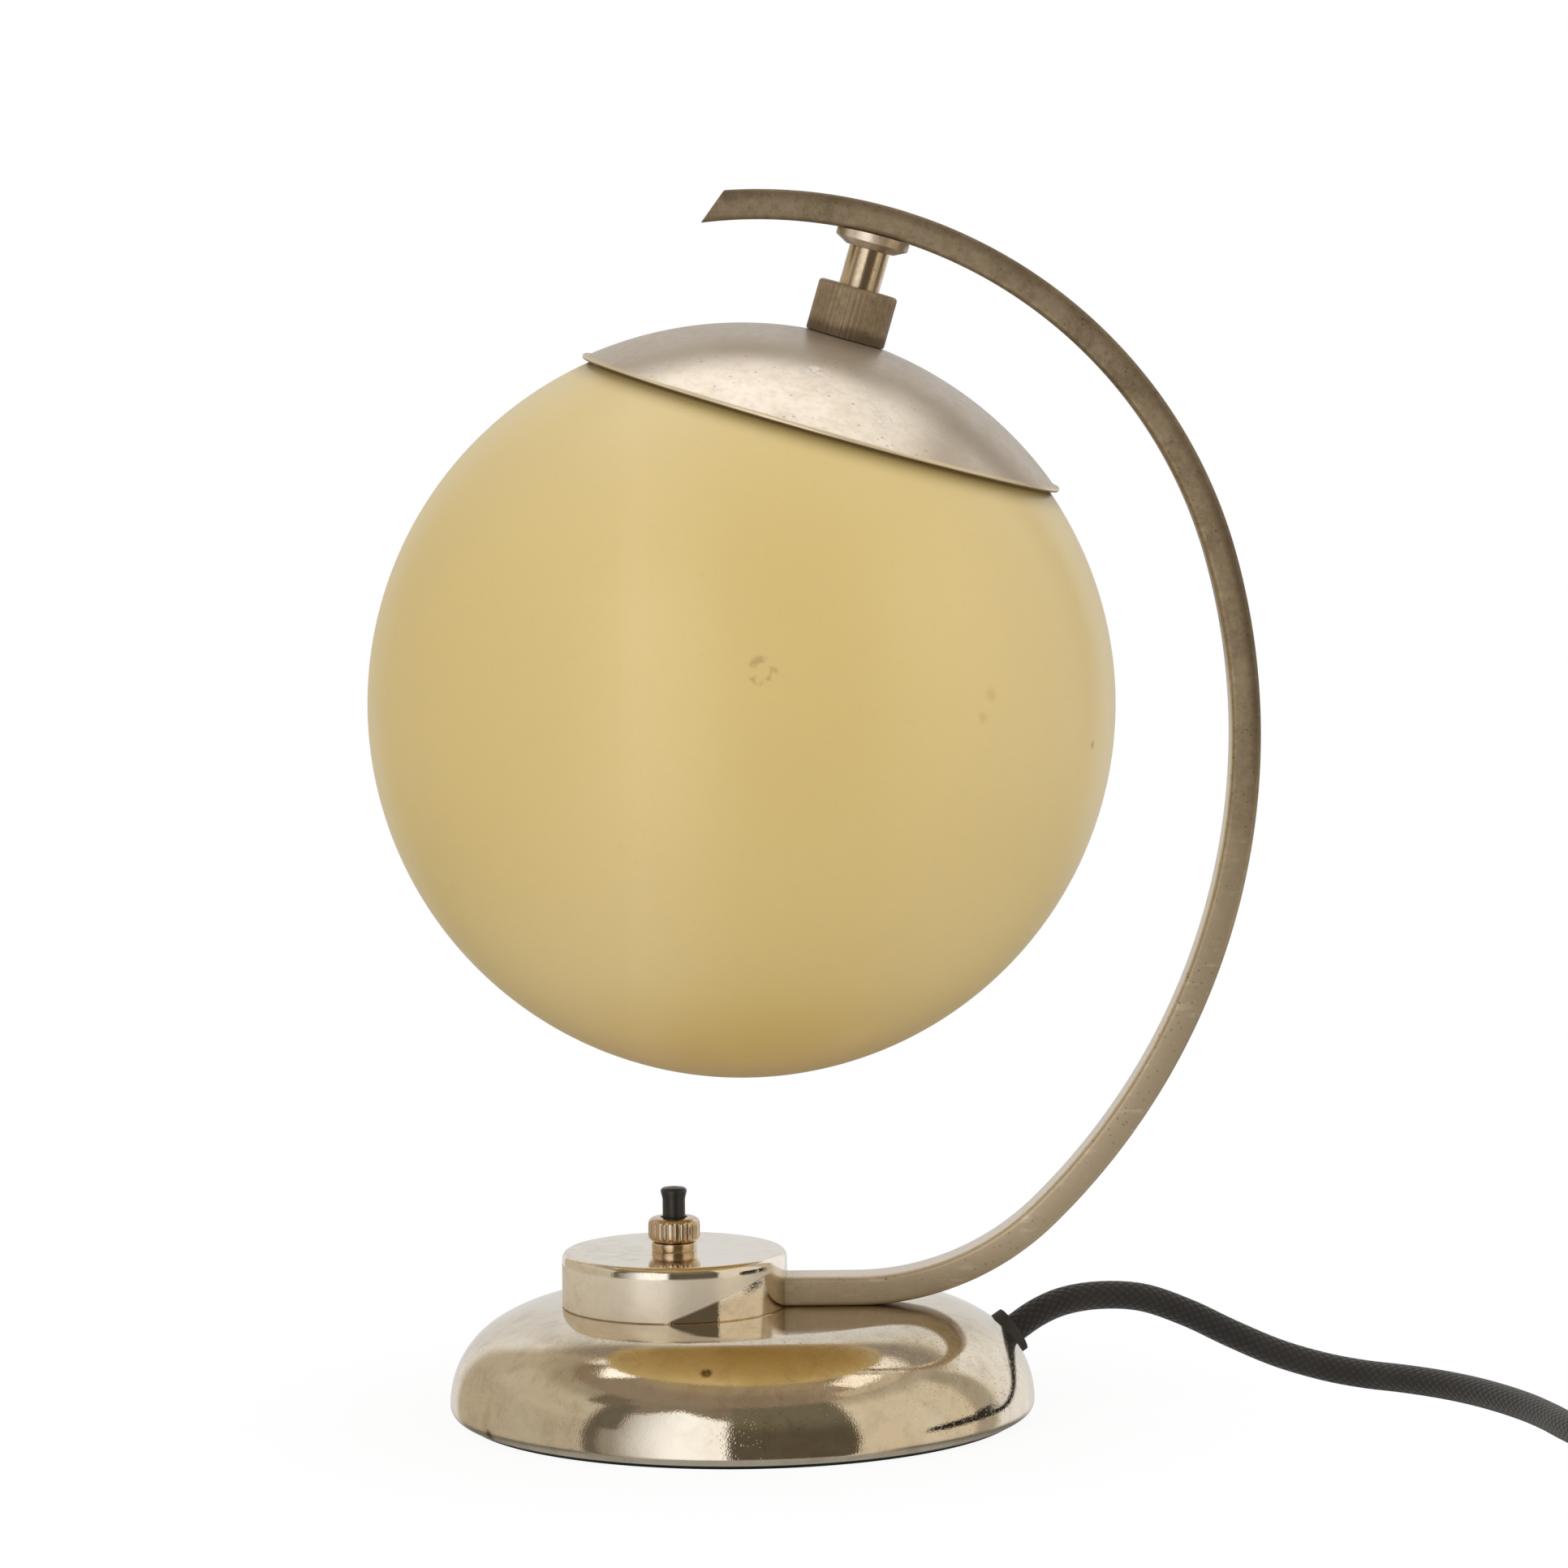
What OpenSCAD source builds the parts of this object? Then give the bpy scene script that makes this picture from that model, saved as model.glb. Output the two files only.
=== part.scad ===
// Bedside lamp: glass ball shade hung in a bent brass arm over a spun foot.
// Millimetres, +Z up, origin on the table under the middle of the foot.

/* [Foot] */
// Greatest radius of the spun foot
base_r = 63.2; // [58:0.1:70]
// Height of the foot's flat top above the table
base_h = 23.9; // [21:0.1:27]
// Radius of the flat top
base_top_r = 39; // [38:0.5:42]
// Height at which the foot is widest
belly_z = 3; // [2.4:0.1:4]
// Radius of the lower part of the shoulder
shoulder_r = 19.5; // [17:0.1:20]
// Radius of the lip that tucks under
tuck_r = 2.2; // [1.6:0.1:2.4]
// Sheet thickness of the foot
base_wall = 1; // [0.6:0.1:1.4]
// Thickness of the felt under the foot
felt_t = 1.8; // [1:0.1:2.4]
// Thickness of the bottom plate
plate_t = 1.2; // [1:0.1:2]
// Outer radius of the cast weight
weight_r = 52; // [45:0.5:53]
// Radius of the hole in the weight
weight_bore_r = 14; // [8:0.5:18]
// Height of the cast weight
weight_h = 10; // [6:0.5:11]
// Radius of the ring of three posts
post_ring_r = 33; // [30:0.5:34]
// Radius of a post
post_r = 4; // [3:0.1:5]
// Radius of the clamping screws
clamp_screw_r = 2; // [1.5:0.1:2.5]

/* [Arm] */
// Width of the arm's section, front to back
arm_w = 10; // [8:0.1:12]
// Thickness of the arm's section
arm_t = 6.4; // [5:0.1:8]
// Wall of the hollow arm
arm_wall = 1; // [0.6:0.1:1.4]
// Radius of the arm's long edges
arm_edge_r = 1.2; // [0.5:0.1:2]
// Where the arm starts inside the drum
arm_start_x = -5; // [-5.5:0.1:-4]
// Where the first bend starts
arm_bend_x = 25; // [22:0.5:30]
// Centreline radius of the first bend
heel_r = 58; // [50:0.5:66]
// Sweep of the first bend in degrees
heel_a = 44.1; // [40:0.1:48]
// Centreline radius of the long back bend
back_r = 144; // [130:0.5:158]
// Sweep of the long back bend in degrees
back_a = 61.3; // [57:0.1:64]
// Centreline radius of the crook over the shade
crook_r = 102.7; // [98:0.1:112]
// Sweep of the crook in degrees
crook_a = 79.4; // [76:0.1:84]
// Slope of the cut at the arm's free end in degrees
tip_cut_a = 41; // [0:1:45]

/* [Neck] */
// Where the neck meets the crook, in degrees before its top
neck_a = 15; // [12:0.1:18]
// Tilt of the neck and the shade in degrees
shade_tilt = 16.3; // [13:0.1:19]
// Radius of the cup washer under the arm
flange_r = 7.9; // [6.5:0.1:9]
// Height of the cup washer
flange_h = 3.4; // [2:0.1:5]
// Length of neck tube that shows
neck_len = 8.5; // [6:0.1:16]
// Radius of the neck tube
neck_r = 4.4; // [4.2:0.1:5]
// Radius of the bore through the neck tube
neck_bore_r = 3.2; // [3:0.1:3.5]
// Radius of the coupling nut
nut_r = 8.6; // [7.5:0.1:10]
// Height of the coupling nut
nut_h = 11.2; // [7:0.1:14]

/* [Shade] */
// Outer radius of the glass ball
globe_r = 80; // [74:0.5:82]
// Wall of the glass ball
globe_wall = 2.5; // [2:0.1:3.5]
// Radius of the opening at the top of the glass
globe_mouth_r = 44; // [42:0.5:47]
// Radius of the bead round the opening
globe_bead_r = 1.6; // [1.3:0.1:1.8]
// Gap between the glass and the cap
cap_gap = 0.6; // [0.4:0.1:1]
// Sheet thickness of the cap
cap_wall = 0.9; // [0.6:0.1:1.2]
// Radius of the cap at its rim
cap_rim_r = 52.2; // [50:0.1:58]
// Radius of the rolled edge of the cap
cap_bead_r = 0.6; // [0.4:0.1:0.8]
// Thickness of the sprung spider that holds the glass
spider_t = 0.8; // [0.5:0.1:1]
// Width of a spider leg
spider_w = 7; // [5:0.5:9]

/* [Lampholder and bulb] */
// Outer radius of the lampholder
holder_r = 13; // [12:0.1:14]
// Length of the lampholder
holder_len = 38; // [34:0.5:42]
// Thread radius of the bulb's screw cap
screw_cap_r = 6.95; // [6.9:0.05:7]
// Radius of the bulb
bulb_r = 22.5; // [20:0.5:25]
// Length of the bulb from contact to crown
bulb_len = 72; // [68:0.5:80]

/* [Switch] */
// Place of the switch and the drum, left of the middle
switch_x = -14.4; // [-15.5:0.1:-13.5]
// Radius of the drum
drum_r = 24.3; // [23.5:0.1:24.6]
// Height of the drum
drum_h = 11.9; // [11:0.1:14]
// Radius of the drum's top edge
drum_edge_r = 1.6; // [0.6:0.1:3]
// Sheet thickness of the drum
drum_wall = 0.9; // [0.6:0.1:1.2]
// Radius of the switch body
switch_r = 8; // [7:0.1:8.3]
// Radius of the threaded bush
bush_r = 4; // [3.6:0.1:4.4]
// Radius of the plain ring on the drum
ring_r = 4.9; // [4.7:0.1:6]
// Height of the plain ring
ring_h = 1.9; // [1:0.1:3]
// Radius of the knurled collar nut
collar_r = 5.6; // [5.2:0.1:7]
// Height of the knurled collar nut
collar_h = 5.3; // [4:0.1:7]
// Radius of the push button's stem
button_r = 2.45; // [2:0.05:2.6]
// Radius of the flared head of the button
button_head_r = 2.85; // [2.7:0.05:3.2]
// How far the button stands above the collar nut
button_out = 6.7; // [5.5:0.1:9]
// Travel of the button
button_travel = 3; // [2:0.1:3.5]

/* [Cord] */
// Diameter of the cord
cord_d = 6.2; // [6:0.1:6.4]
// Bearing of the cord's exit in degrees
exit_az = 17.5; // [12:0.5:24]
// Height of the exit on the shoulder, in degrees of the shoulder's arc
exit_el = 31; // [26:0.5:36]
// Radius of the grommet's flange
grommet_r = 5.2; // [4.9:0.1:6]
// How far the grommet stands out of the foot
grommet_out = 2.2; // [1.5:0.1:3]
// Step from one turn of the coil to the next
coil_pitch = 6.8; // [6.8:0.1:7.4]
// Radius at the middle of the coil's turns
coil_mid_r = 37; // [35:0.5:40]
// Thickness of the strap round the coil
tie_t = 0.8; // [0.5:0.1:1]
// Width of the plug
plug_w = 36; // [32:0.5:40]
// Thickness of the plug across its flats
plug_t = 21.2; // [19:0.1:21.2]
// Length of the plug's body
plug_len = 36; // [32:0.5:42]
// Length of the tapered relief behind the plug
relief_len = 30; // [22:0.5:40]
// Length of the plug's pins
pin_len = 19; // [18:0.5:20]
// Distance between the pins
pin_gap = 19; // [18:0.5:20]

/* [Hidden] */
$fn = 96;

// Bends run this many degrees into each other, and every second one is drawn this much
// smaller, because two faces that meet flush can leave a crack between them
lap = 0.02;
bend_shrink = 0.996;

// Clearances
seat = 0.05;
slip = 0.08;
loose = 0.3;

// Foot
shell_under = base_h - base_wall;
plate_z = felt_t;
weight_z = plate_z + plate_t;
weight_top = weight_z + weight_h;
lip_r = base_r - tuck_r;
shoulder_w = base_r - base_top_r;
shoulder_h = base_h - belly_z;
// Upper shoulder radius that runs smoothly into the lower one
top_arc_r = (pow(shoulder_w - shoulder_r, 2) + pow(shoulder_h, 2) - pow(shoulder_r, 2))
    / (2 * (shoulder_h - shoulder_r));
low_c = [base_r - shoulder_r, belly_z];
top_c = [base_top_r, base_h - top_arc_r];
join_a = atan2(low_c[1] - top_c[1], low_c[0] - top_c[0]);
post_az = [78, 198, 318];
clamp_head_r = 2 * clamp_screw_r;
clamp_head_h = 2.2;
clamp_bite = 7;
weight_edge = 4;
// Channel in the weight for the cord
channel_w = 16;
channel_in_r = 36;

// Arm centreline in the X Z plane
arm_z = base_h + arm_t / 2;
arm_screw_x = [1, 7.5];
arm_screw_r = 1.5;
wire_hole_x = 15.5;
wire_hole_r = 3.5;
block_end_x = 10.5;
washer_t = 0.6;
screw_head_r = 2.6;
screw_head_h = 2;
screw_end_gap = 0.6;
back_start_a = heel_a;
crook_start_a = heel_a + back_a;
tip_a = crook_start_a + crook_a;
neck_heading = 180 - neck_a;
cavity_end_a = neck_heading + 4;
heel_c = [arm_bend_x, arm_z + heel_r];
back_c = heel_c + (heel_r - back_r) * out(back_start_a);
crook_c = back_c + (back_r - crook_r) * out(crook_start_a);
neck_p = crook_c + crook_r * out(neck_heading);

// Wires in the arm and the foot; wire_y is half the distance between the two
wire_r = 1.1;
wire_y = 1.7;
wire_rest_z = 16.4;

// Shade axis: heights are measured from the middle of the glass ball
cap_r = globe_r + cap_gap + cap_wall;
cap_in_r = cap_r - cap_wall;
nut_z = sqrt(pow(cap_r, 2) - pow(nut_r, 2)) + seat;
flange_z = nut_z + nut_h + neck_len;
neck_drop = flange_z + flange_h + arm_t / 2;
globe_c = [neck_p[0] - neck_drop * sin(shade_tilt), 0, neck_p[1] - neck_drop * cos(shade_tilt)];
mouth_z = sqrt(pow(globe_r, 2) - pow(globe_mouth_r, 2));
bead_path_r = globe_r - globe_wall / 2;
bead_z = sqrt(pow(bead_path_r, 2) - pow(globe_mouth_r, 2));
rim_z = sqrt(pow(cap_r, 2) - pow(cap_rim_r, 2));
spider_hub_r = 12;
spider_z = sqrt(pow(cap_in_r, 2) - pow(spider_hub_r, 2)) - seat - spider_t;
holder_top = spider_z - seat;
holder_boss_r = 7;
holder_step = 6;
holder_skirt_wall = 1.2;
skirt_top = holder_top - 14.5;
holder_bottom = holder_top - holder_len;
insulator_top = holder_top - 7;
insulator_bottom = insulator_top - 9;
sleeve_wall = 2.2;
contact_h = 3.4;
bulb_top = insulator_bottom - contact_h - seat;
bulb_cap_len = 18;
bulb_c_z = bulb_top - bulb_len + bulb_r;
neck_end = insulator_top + 1.5;
flange_foot_r = neck_r + 0.8;
flange_edge_z = 1.5;
nut_cut = 0.8;
nut_flutes = 44;
// Rise of the nut's underside, which is hollow to clear the dome of the cap
nut_hollow = 0.4;

function shade_point(x, z) = [globe_c[0] + z * sin(shade_tilt) + x * cos(shade_tilt),
    0, globe_c[2] + z * cos(shade_tilt) - x * sin(shade_tilt)];
// Middle line of the two wires, from the hole in the foot to the lampholder
arm_wire_route = concat(
    [[wire_hole_x - 5, 0, shell_under - 4.4], [wire_hole_x - 1.8, 0, shell_under - 1],
     [wire_hole_x + 0.6, 0, base_h + 1.4], [wire_hole_x + 4, 0, arm_z - 0.2]],
    [for (a = [0:7.35:heel_a]) on_bend(heel_c, heel_r, a)],
    [for (a = [1:12]) on_bend(back_c, back_r, back_start_a + back_a * a / 13)],
    [for (a = [0:8]) on_bend(crook_c, crook_r, crook_start_a + (neck_heading - 6 - crook_start_a) * a / 8)],
    [shade_point(5, neck_drop + 0.5), shade_point(2.6, neck_drop + 0.1), shade_point(1.2, neck_drop - 1.6),
     shade_point(0.5, neck_drop - 4), shade_point(0, neck_drop - 8), shade_point(0, insulator_top + 0.5)]);

// Switch
drum_top = base_h + drum_h;
ring_z = drum_top;
collar_z = ring_z + ring_h;
collar_top = collar_z + collar_h;
button_top = collar_top + button_out;
switch_flange_r = 11.5;
switch_flange_t = 3.1;
switch_low = shell_under - seat - switch_flange_t;
switch_high = drum_top - drum_wall - seat;
bush_flange_r = 6.2;
bush_flange_t = 1.8;
collar_thread_gap = 0.6;
bush_low = switch_high - 3.2;
bush_top = collar_top - collar_thread_gap;
cavity_r = 3.75;
cavity_z = switch_low + 1.3;
stop_t = 1.4;
stop_z = bush_low - loose - stop_t;
stop_r = 3.4;
guide_r = 1.6;
guide_low = cavity_z + button_travel + seat;
spring_r = 2.6;
spring_wire_r = 0.3;
spring_turns = 5;
terminal_y = 6;
terminal_r = 2;
terminal_h = 5;
terminal_x = switch_x + 2.4;
collar_edge = 1.5;
collar_knurls = 24;

// Cord exit
exit_r = low_c[0] + shoulder_r * cos(exit_el);
exit_p = [exit_r * cos(exit_az), exit_r * sin(exit_az), belly_z + shoulder_r * sin(exit_el)];
exit_dir = [cos(exit_el) * cos(exit_az), cos(exit_el) * sin(exit_az), sin(exit_el)];
cord_r = cord_d / 2;
grommet_hole_r = 4.4;
grommet_in = 3.4;
// Inner lip that holds the grommet in the foot
grommet_lip = 1.2;
grommet_lip_t = 1.4;
tail_in = 10;
// Collar that clamps the cord behind the grommet, and its screw
collar_len = 4.8;
collar_mid = -grommet_in - 0.2 - collar_len / 2;
clamp_y = 6;
clamp_slit = 1;
// Connector block on the weight
connector_p = [19, 4.5];
connector_size = [14, 9, 8];
connector_hole_r = 1.6;
connector_z = weight_top + connector_size[2] / 2;
connector_y = connector_p[1] + connector_size[1] / 2;
cord_lies = cord_r;

// Route of the cord over the table, chosen by hand
lead_route = concat([exit_p + grommet_out * exit_dir, exit_p + (grommet_out + 6) * exit_dir], [
    [70, 22, 19.5], [78, 24, 20.5], [88, 26, 19.6], [98, 26.5, 16], [108, 26, 11.2], [118, 25, 7],
    [128, 23.5, 4.2], [136, 20.5, cord_lies], [145, 14, cord_lies], [153, 6.5, cord_lies],
    [160, -3, cord_lies], [167, -17, cord_lies], [171, -29, cord_lies], [174, -41, cord_lies],
    [178, -54, cord_lies], [184, -66, 3.4], [188, -71, 3.9], [192, -75, 3.9]]);

// Coil: three and a quarter turns in, the same out again on top
coil_turns = 3.25;
coil_mid_a = 360 * coil_turns;
coil_rise = coil_pitch;
coil_in_r = coil_mid_r - coil_pitch * coil_turns / 2;
coil_out_r = coil_in_r + coil_pitch * coil_turns;
coil_start_a = 225;
lead_end = lead_route[len(lead_route) - 1];
coil_in_dir = [-sin(coil_start_a), cos(coil_start_a), 0];
coil_c = lead_end + cord_d * coil_in_dir - coil_out_r * [cos(coil_start_a), sin(coil_start_a), 0];
coil_path = coil_points();
coil_end = coil_path[len(coil_path) - 1];
plug_az = coil_start_a + 2 * coil_mid_a + 90;
tie_a = 135;
tie_w = 6;
tie_slack = 0.5;
gap_steps = 24;

echo(cord_length = route_length(lead_route) + route_length(coil_path));
echo(coil_least_gap = least_gap(halved(coil_path), gap_steps) - cord_d);

// Unit vector from a bend's centre to its centreline where the arm heads at angle a
function out(a) = [sin(a), -cos(a)];
function unit(v) = v / norm(v);
// Point and direction on the arm's centreline at heading a of the bend with centre c and radius r
function on_bend(c, r, a) = [c[0] + r * sin(a), 0, c[1] - r * cos(a)];
function arc(c, r, a0, a1, n) = [for (i = [0:n]) let(a = a0 + (a1 - a0) * i / n)
    c + r * [cos(a), sin(a)]];
function route_length(p) = len(p) < 2 ? 0 : sum([for (i = [1:len(p) - 1]) norm(p[i] - p[i - 1])]);
function sum(v, i = 0) = i >= len(v) ? 0 : v[i] + sum(v, i + 1);
function halved(p) = [for (i = [0:len(p) - 2]) each [p[i], (p[i] + p[i + 1]) / 2]];
function least_gap(p, apart) = min([for (i = [0:len(p) - apart - 1])
    min([for (j = [i + apart:len(p) - 1]) norm(p[i] - p[j])])]);
function smooth(s) = let(k = min(1, max(0, s))) k * k * (3 - 2 * k);
function coil_at(t) = let(r = coil_in_r + coil_pitch * abs(t - coil_mid_a) / 360, a = coil_start_a + t)
    [coil_c[0] + r * cos(a), coil_c[1] + r * sin(a),
     lead_end[2] + coil_rise * smooth((t - coil_mid_a + 90) / 180)];
function coil_points() = let(turns = [for (t = [0:15:2 * coil_mid_a]) coil_at(t)],
    a = coil_start_a + 2 * coil_mid_a)
    concat([lead_end], turns, [turns[len(turns) - 1] + cord_d * [-sin(a), cos(a), 0]]);

// Outline of the foot from its top to its lip, grown outwards by g
function foot_outline(g) = concat(
    arc(top_c, top_arc_r + g, 90, join_a, 8),
    arc(low_c, shoulder_r + g, join_a, 0, 12),
    arc([lip_r, belly_z], tuck_r + g, 0, -90, 4));

// Tube of n sides swept along a list of points; ref is a direction that the route never takes
module tube(path, r, n, ref = [0, 0, 1]) {
    last = len(path) - 1;
    points = [for (i = [0:last])
        let(t = unit(path[min(i + 1, last)] - path[max(i - 1, 0)]), s = unit(cross(t, ref)), u = cross(s, t))
        for (k = [0:n - 1]) path[i] + r * (cos(360 * k / n) * s + sin(360 * k / n) * u)];
    sides = [for (i = [0:last - 1], k = [0:n - 1])
        let(a = i * n + k, b = i * n + (k + 1) % n) each [[a, b, a + n], [b, b + n, a + n]]];
    caps = [for (k = [1:n - 2]) each [[0, k + 1, k], [last * n, last * n + k, last * n + k + 1]]];
    polyhedron(points, concat(sides, caps));
}

module round_rect(w, h, r) {
    square([w - 2 * r, h], center = true);
    square([w, h - 2 * r], center = true);
    for (x = [-1, 1], y = [-1, 1])
        translate([x * (w / 2 - r), y * (h / 2 - r)]) circle(r, $fn = 32);
}

// One bend of the arm: the children are its section, thickness along X and width along Y
module bend(c, r, a, sweep) {
    translate([c[0], 0, c[1]])
        rotate([90, 0, 0])
            rotate([0, 0, a - 90 - lap])
                rotate_extrude(angle = sweep + lap)
                    translate([r, 0]) children();
}

module straight(x0, x1) {
    translate([x0, 0, arm_z])
        rotate([90, 0, 90])
            linear_extrude(x1 - x0)
                rotate(90) children();
}

// The whole bent bar from its foot to heading end_a of the crook
module along_arm(x0, end_a) {
    straight(x0, arm_bend_x) children();
    bend(heel_c, heel_r, 0, heel_a) scale(bend_shrink) children();
    bend(back_c, back_r, back_start_a, back_a) children();
    bend(crook_c, crook_r, crook_start_a, end_a - crook_start_a) scale(bend_shrink) children();
}

module on_shade() {
    translate(globe_c) rotate([0, shade_tilt, 0]) children();
}

module at_exit() {
    translate(exit_p) rotate([0, 90 - exit_el, exit_az]) children();
}

module at_switch(z = 0) {
    translate([switch_x, 0, z]) children();
}

module at_posts(z) {
    for (a = post_az) rotate(a) translate([post_ring_r, 0, z]) children();
}

module at_plug() {
    translate(coil_end) rotate([0, 90, plug_az]) children();
}

module bore(r, z0, z1) {
    translate([0, 0, z0]) cylinder(r = r, h = z1 - z0, $fn = 48);
}

module base_shell() {
    color("wheat") difference() {
        rotate_extrude($fn = 128)
            polygon(concat([[0, base_h]], foot_outline(0), [[lip_r, belly_z - tuck_r + base_wall]],
                reverse_inner()));
        at_switch() bore(switch_r + loose, shell_under - 1, base_h + 1);
        for (x = arm_screw_x) translate([x, 0, 0]) bore(arm_screw_r + loose, shell_under - 1, base_h + 1);
        translate([wire_hole_x, 0, 0]) bore(wire_hole_r, shell_under - 1, base_h + 1);
        at_exit() bore(grommet_hole_r, -6, 4);
    }
}

// Inner outline of the foot from its lip back to its top
function reverse_inner() = let(p = foot_outline(-base_wall))
    concat([for (i = [len(p) - 2:-1:0]) p[i]], [[0, shell_under]]);

module base_weight() {
    color("dimgray") difference() {
        rotate_extrude($fn = 128)
            polygon([[weight_bore_r, weight_z], [weight_r, weight_z], [weight_r, weight_top - weight_edge],
                [weight_r - weight_edge, weight_top], [weight_bore_r, weight_top]]);
        at_posts(0) bore(clamp_screw_r + loose / 2, weight_z - 1, weight_top + 1);
        at_posts(plate_z) cylinder(r1 = clamp_head_r + loose / 2, r2 = clamp_screw_r + loose / 2,
            h = clamp_head_h, $fn = 48);
        rotate(exit_az) translate([channel_in_r, -channel_w / 2, weight_z - 1])
            cube([weight_r, channel_w, weight_h + 2]);
    }
}

module base_plate() {
    color("silver") difference() {
        translate([0, 0, plate_z]) cylinder(r = lip_r - loose, h = plate_t);
        at_posts(plate_z) cylinder(r1 = clamp_head_r + loose / 2, r2 = clamp_screw_r + loose / 2,
            h = clamp_head_h, $fn = 48);
    }
}

module felt_pad() {
    color("darkgreen") cylinder(r = lip_r - 3 * loose, h = felt_t);
}

module clamp_posts() {
    color("goldenrod") at_posts(weight_top) difference() {
        cylinder(r = post_r, h = shell_under - weight_top, $fn = 48);
        bore(clamp_screw_r + seat, -1, clamp_bite + 1);
    }
}

module clamp_screws() {
    color("silver") at_posts(plate_z) {
        cylinder(r1 = clamp_head_r, r2 = clamp_screw_r, h = clamp_head_h, $fn = 48);
        bore(clamp_screw_r, clamp_head_h, plate_t + weight_h + clamp_bite);
    }
}

module arm() {
    color("darkkhaki") difference() {
        along_arm(arm_start_x, tip_a + 3) round_rect(arm_t, arm_w, arm_edge_r);
        along_arm(arm_start_x - 1, cavity_end_a) square([arm_t - 2 * arm_wall, arm_w - 2 * arm_wall],
            center = true);
        for (x = arm_screw_x) translate([x, 0, 0]) bore(arm_screw_r + seat, base_h - 1, arm_z);
        translate([wire_hole_x, 0, 0]) bore(wire_hole_r, base_h - 1, arm_z);
        on_shade() bore(neck_bore_r, flange_z, neck_drop);
        // Sloping cut at the free end
        translate(on_bend(crook_c, crook_r, tip_a))
            rotate([0, 180 - tip_a + tip_cut_a, 0])
                translate([-2 * arm_t, -arm_w, -2 * arm_t])
                    cube([2 * arm_t, 2 * arm_w, 4 * arm_t]);
    }
}

module arm_foot_block() {
    color("goldenrod") difference() {
        straight(arm_start_x + loose, block_end_x)
            square([arm_t - 2 * arm_wall - seat, arm_w - 2 * arm_wall - seat], center = true);
        for (x = arm_screw_x) translate([x, 0, 0]) bore(arm_screw_r + seat, base_h, base_h + arm_t);
    }
}

module arm_washers() {
    color("silver") for (x = arm_screw_x) translate([x, 0, shell_under - seat - washer_t]) difference() {
        cylinder(r = screw_head_r + loose, h = washer_t, $fn = 48);
        bore(arm_screw_r + 0.1, -1, washer_t + 1);
    }
}

module arm_screws() {
    head_top = shell_under - 2 * seat - washer_t;
    color("silver") for (x = arm_screw_x) translate([x, 0, 0]) {
        bore(screw_head_r, head_top - screw_head_h, head_top);
        bore(arm_screw_r, head_top, arm_z + arm_t / 2 - arm_wall - screw_end_gap);
    }
}

// One wire, on the given side of the arm's middle; start is its route inside the foot
module arm_wire(side, start) {
    tube(concat(start, [for (p = arm_wire_route) p + [0, side * wire_y, 0]]), wire_r, 6, [0, 1, 0.05]);
}

module arm_wires() {
    block_face = connector_p[0] - 2 * seat;
    color("sienna") arm_wire(-1, [[terminal_x, -terminal_y, wire_rest_z], [-6, -7.5, wire_rest_z],
        [4, -5.5, wire_rest_z]]);
    color("steelblue") arm_wire(1, [[block_face, connector_y, connector_z],
        [block_face - 1.5, connector_y, connector_z], [14, 7.5, wire_rest_z], [10.5, 4.5, connector_z]]);
}

module switch_drum() {
    slot_w = arm_w + 2 * slip;
    color("burlywood") difference() {
        at_switch(base_h) rotate_extrude() difference() {
            drum_half(drum_r, drum_h, drum_edge_r);
            drum_half(drum_r - drum_wall, drum_h - drum_wall, max(drum_edge_r - drum_wall, 0.2));
        }
        at_switch() bore(bush_r + slip, drum_top - drum_wall - 1, drum_top + 1);
        translate([0, -slot_w / 2, base_h - 1]) cube([drum_r, slot_w, arm_t + slip + 1]);
    }
}

// Half section of a plain drum with a round top edge
module drum_half(r, h, edge) {
    square([r, h - edge]);
    square([r - edge, h]);
    translate([r - edge, h - edge]) intersection() {
        circle(edge, $fn = 48);
        square(edge);
    }
}

module switch_body() {
    color("saddlebrown") at_switch() difference() {
        union() {
            bore(switch_flange_r, switch_low, switch_low + switch_flange_t);
            bore(switch_r, switch_low, switch_high);
        }
        bore(cavity_r, cavity_z, switch_high + 1);
        bore(bush_r + slip, bush_low, switch_high + 1);
        bore(bush_flange_r + slip, switch_high - bush_flange_t - seat, switch_high + 1);
    }
}

module switch_bush() {
    color("goldenrod") at_switch() difference() {
        union() {
            bore(bush_r, bush_low, bush_top);
            bore(bush_flange_r, switch_high - bush_flange_t, switch_high);
        }
        bore(button_r + slip, bush_low - 1, bush_top + 1);
    }
}

module switch_ring() {
    color("tan") at_switch(ring_z) difference() {
        cylinder(r = ring_r, h = ring_h - seat, $fn = 64);
        bore(bush_r + seat, -1, ring_h + 1);
    }
}

module switch_collar_nut() {
    edge = collar_edge;
    color("burlywood") at_switch(collar_z) difference() {
        rotate_extrude($fn = 64) {
            square([collar_r - edge, collar_h]);
            translate([0, edge]) square([collar_r, collar_h - 2 * edge]);
            for (z = [edge, collar_h - edge]) translate([collar_r - edge, z]) circle(edge, $fn = 32);
        }
        bore(bush_r + seat, -1, bush_top - collar_z + seat);
        bore(button_head_r + slip, 0, collar_h + 1);
        for (i = [1:collar_knurls]) rotate(360 * i / collar_knurls) translate([collar_r + 0.25, 0, -1])
            cylinder(r = 0.5, h = collar_h + 2, $fn = 16);
    }
}

module switch_terminals() {
    color("gold") for (s = [-1, 1]) translate([switch_x, s * terminal_y, switch_low - terminal_h])
        cylinder(r = terminal_r, h = terminal_h, $fn = 32);
}

module switch_spring() {
    low = cavity_z + spring_wire_r + seat;
    high = stop_z - spring_wire_r - seat;
    color("silver") tube([for (t = [0:30:360 * spring_turns])
        [switch_x + spring_r * cos(t), spring_r * sin(t), low + (high - low) * t / (360 * spring_turns)]],
        spring_wire_r, 6);
}

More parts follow.
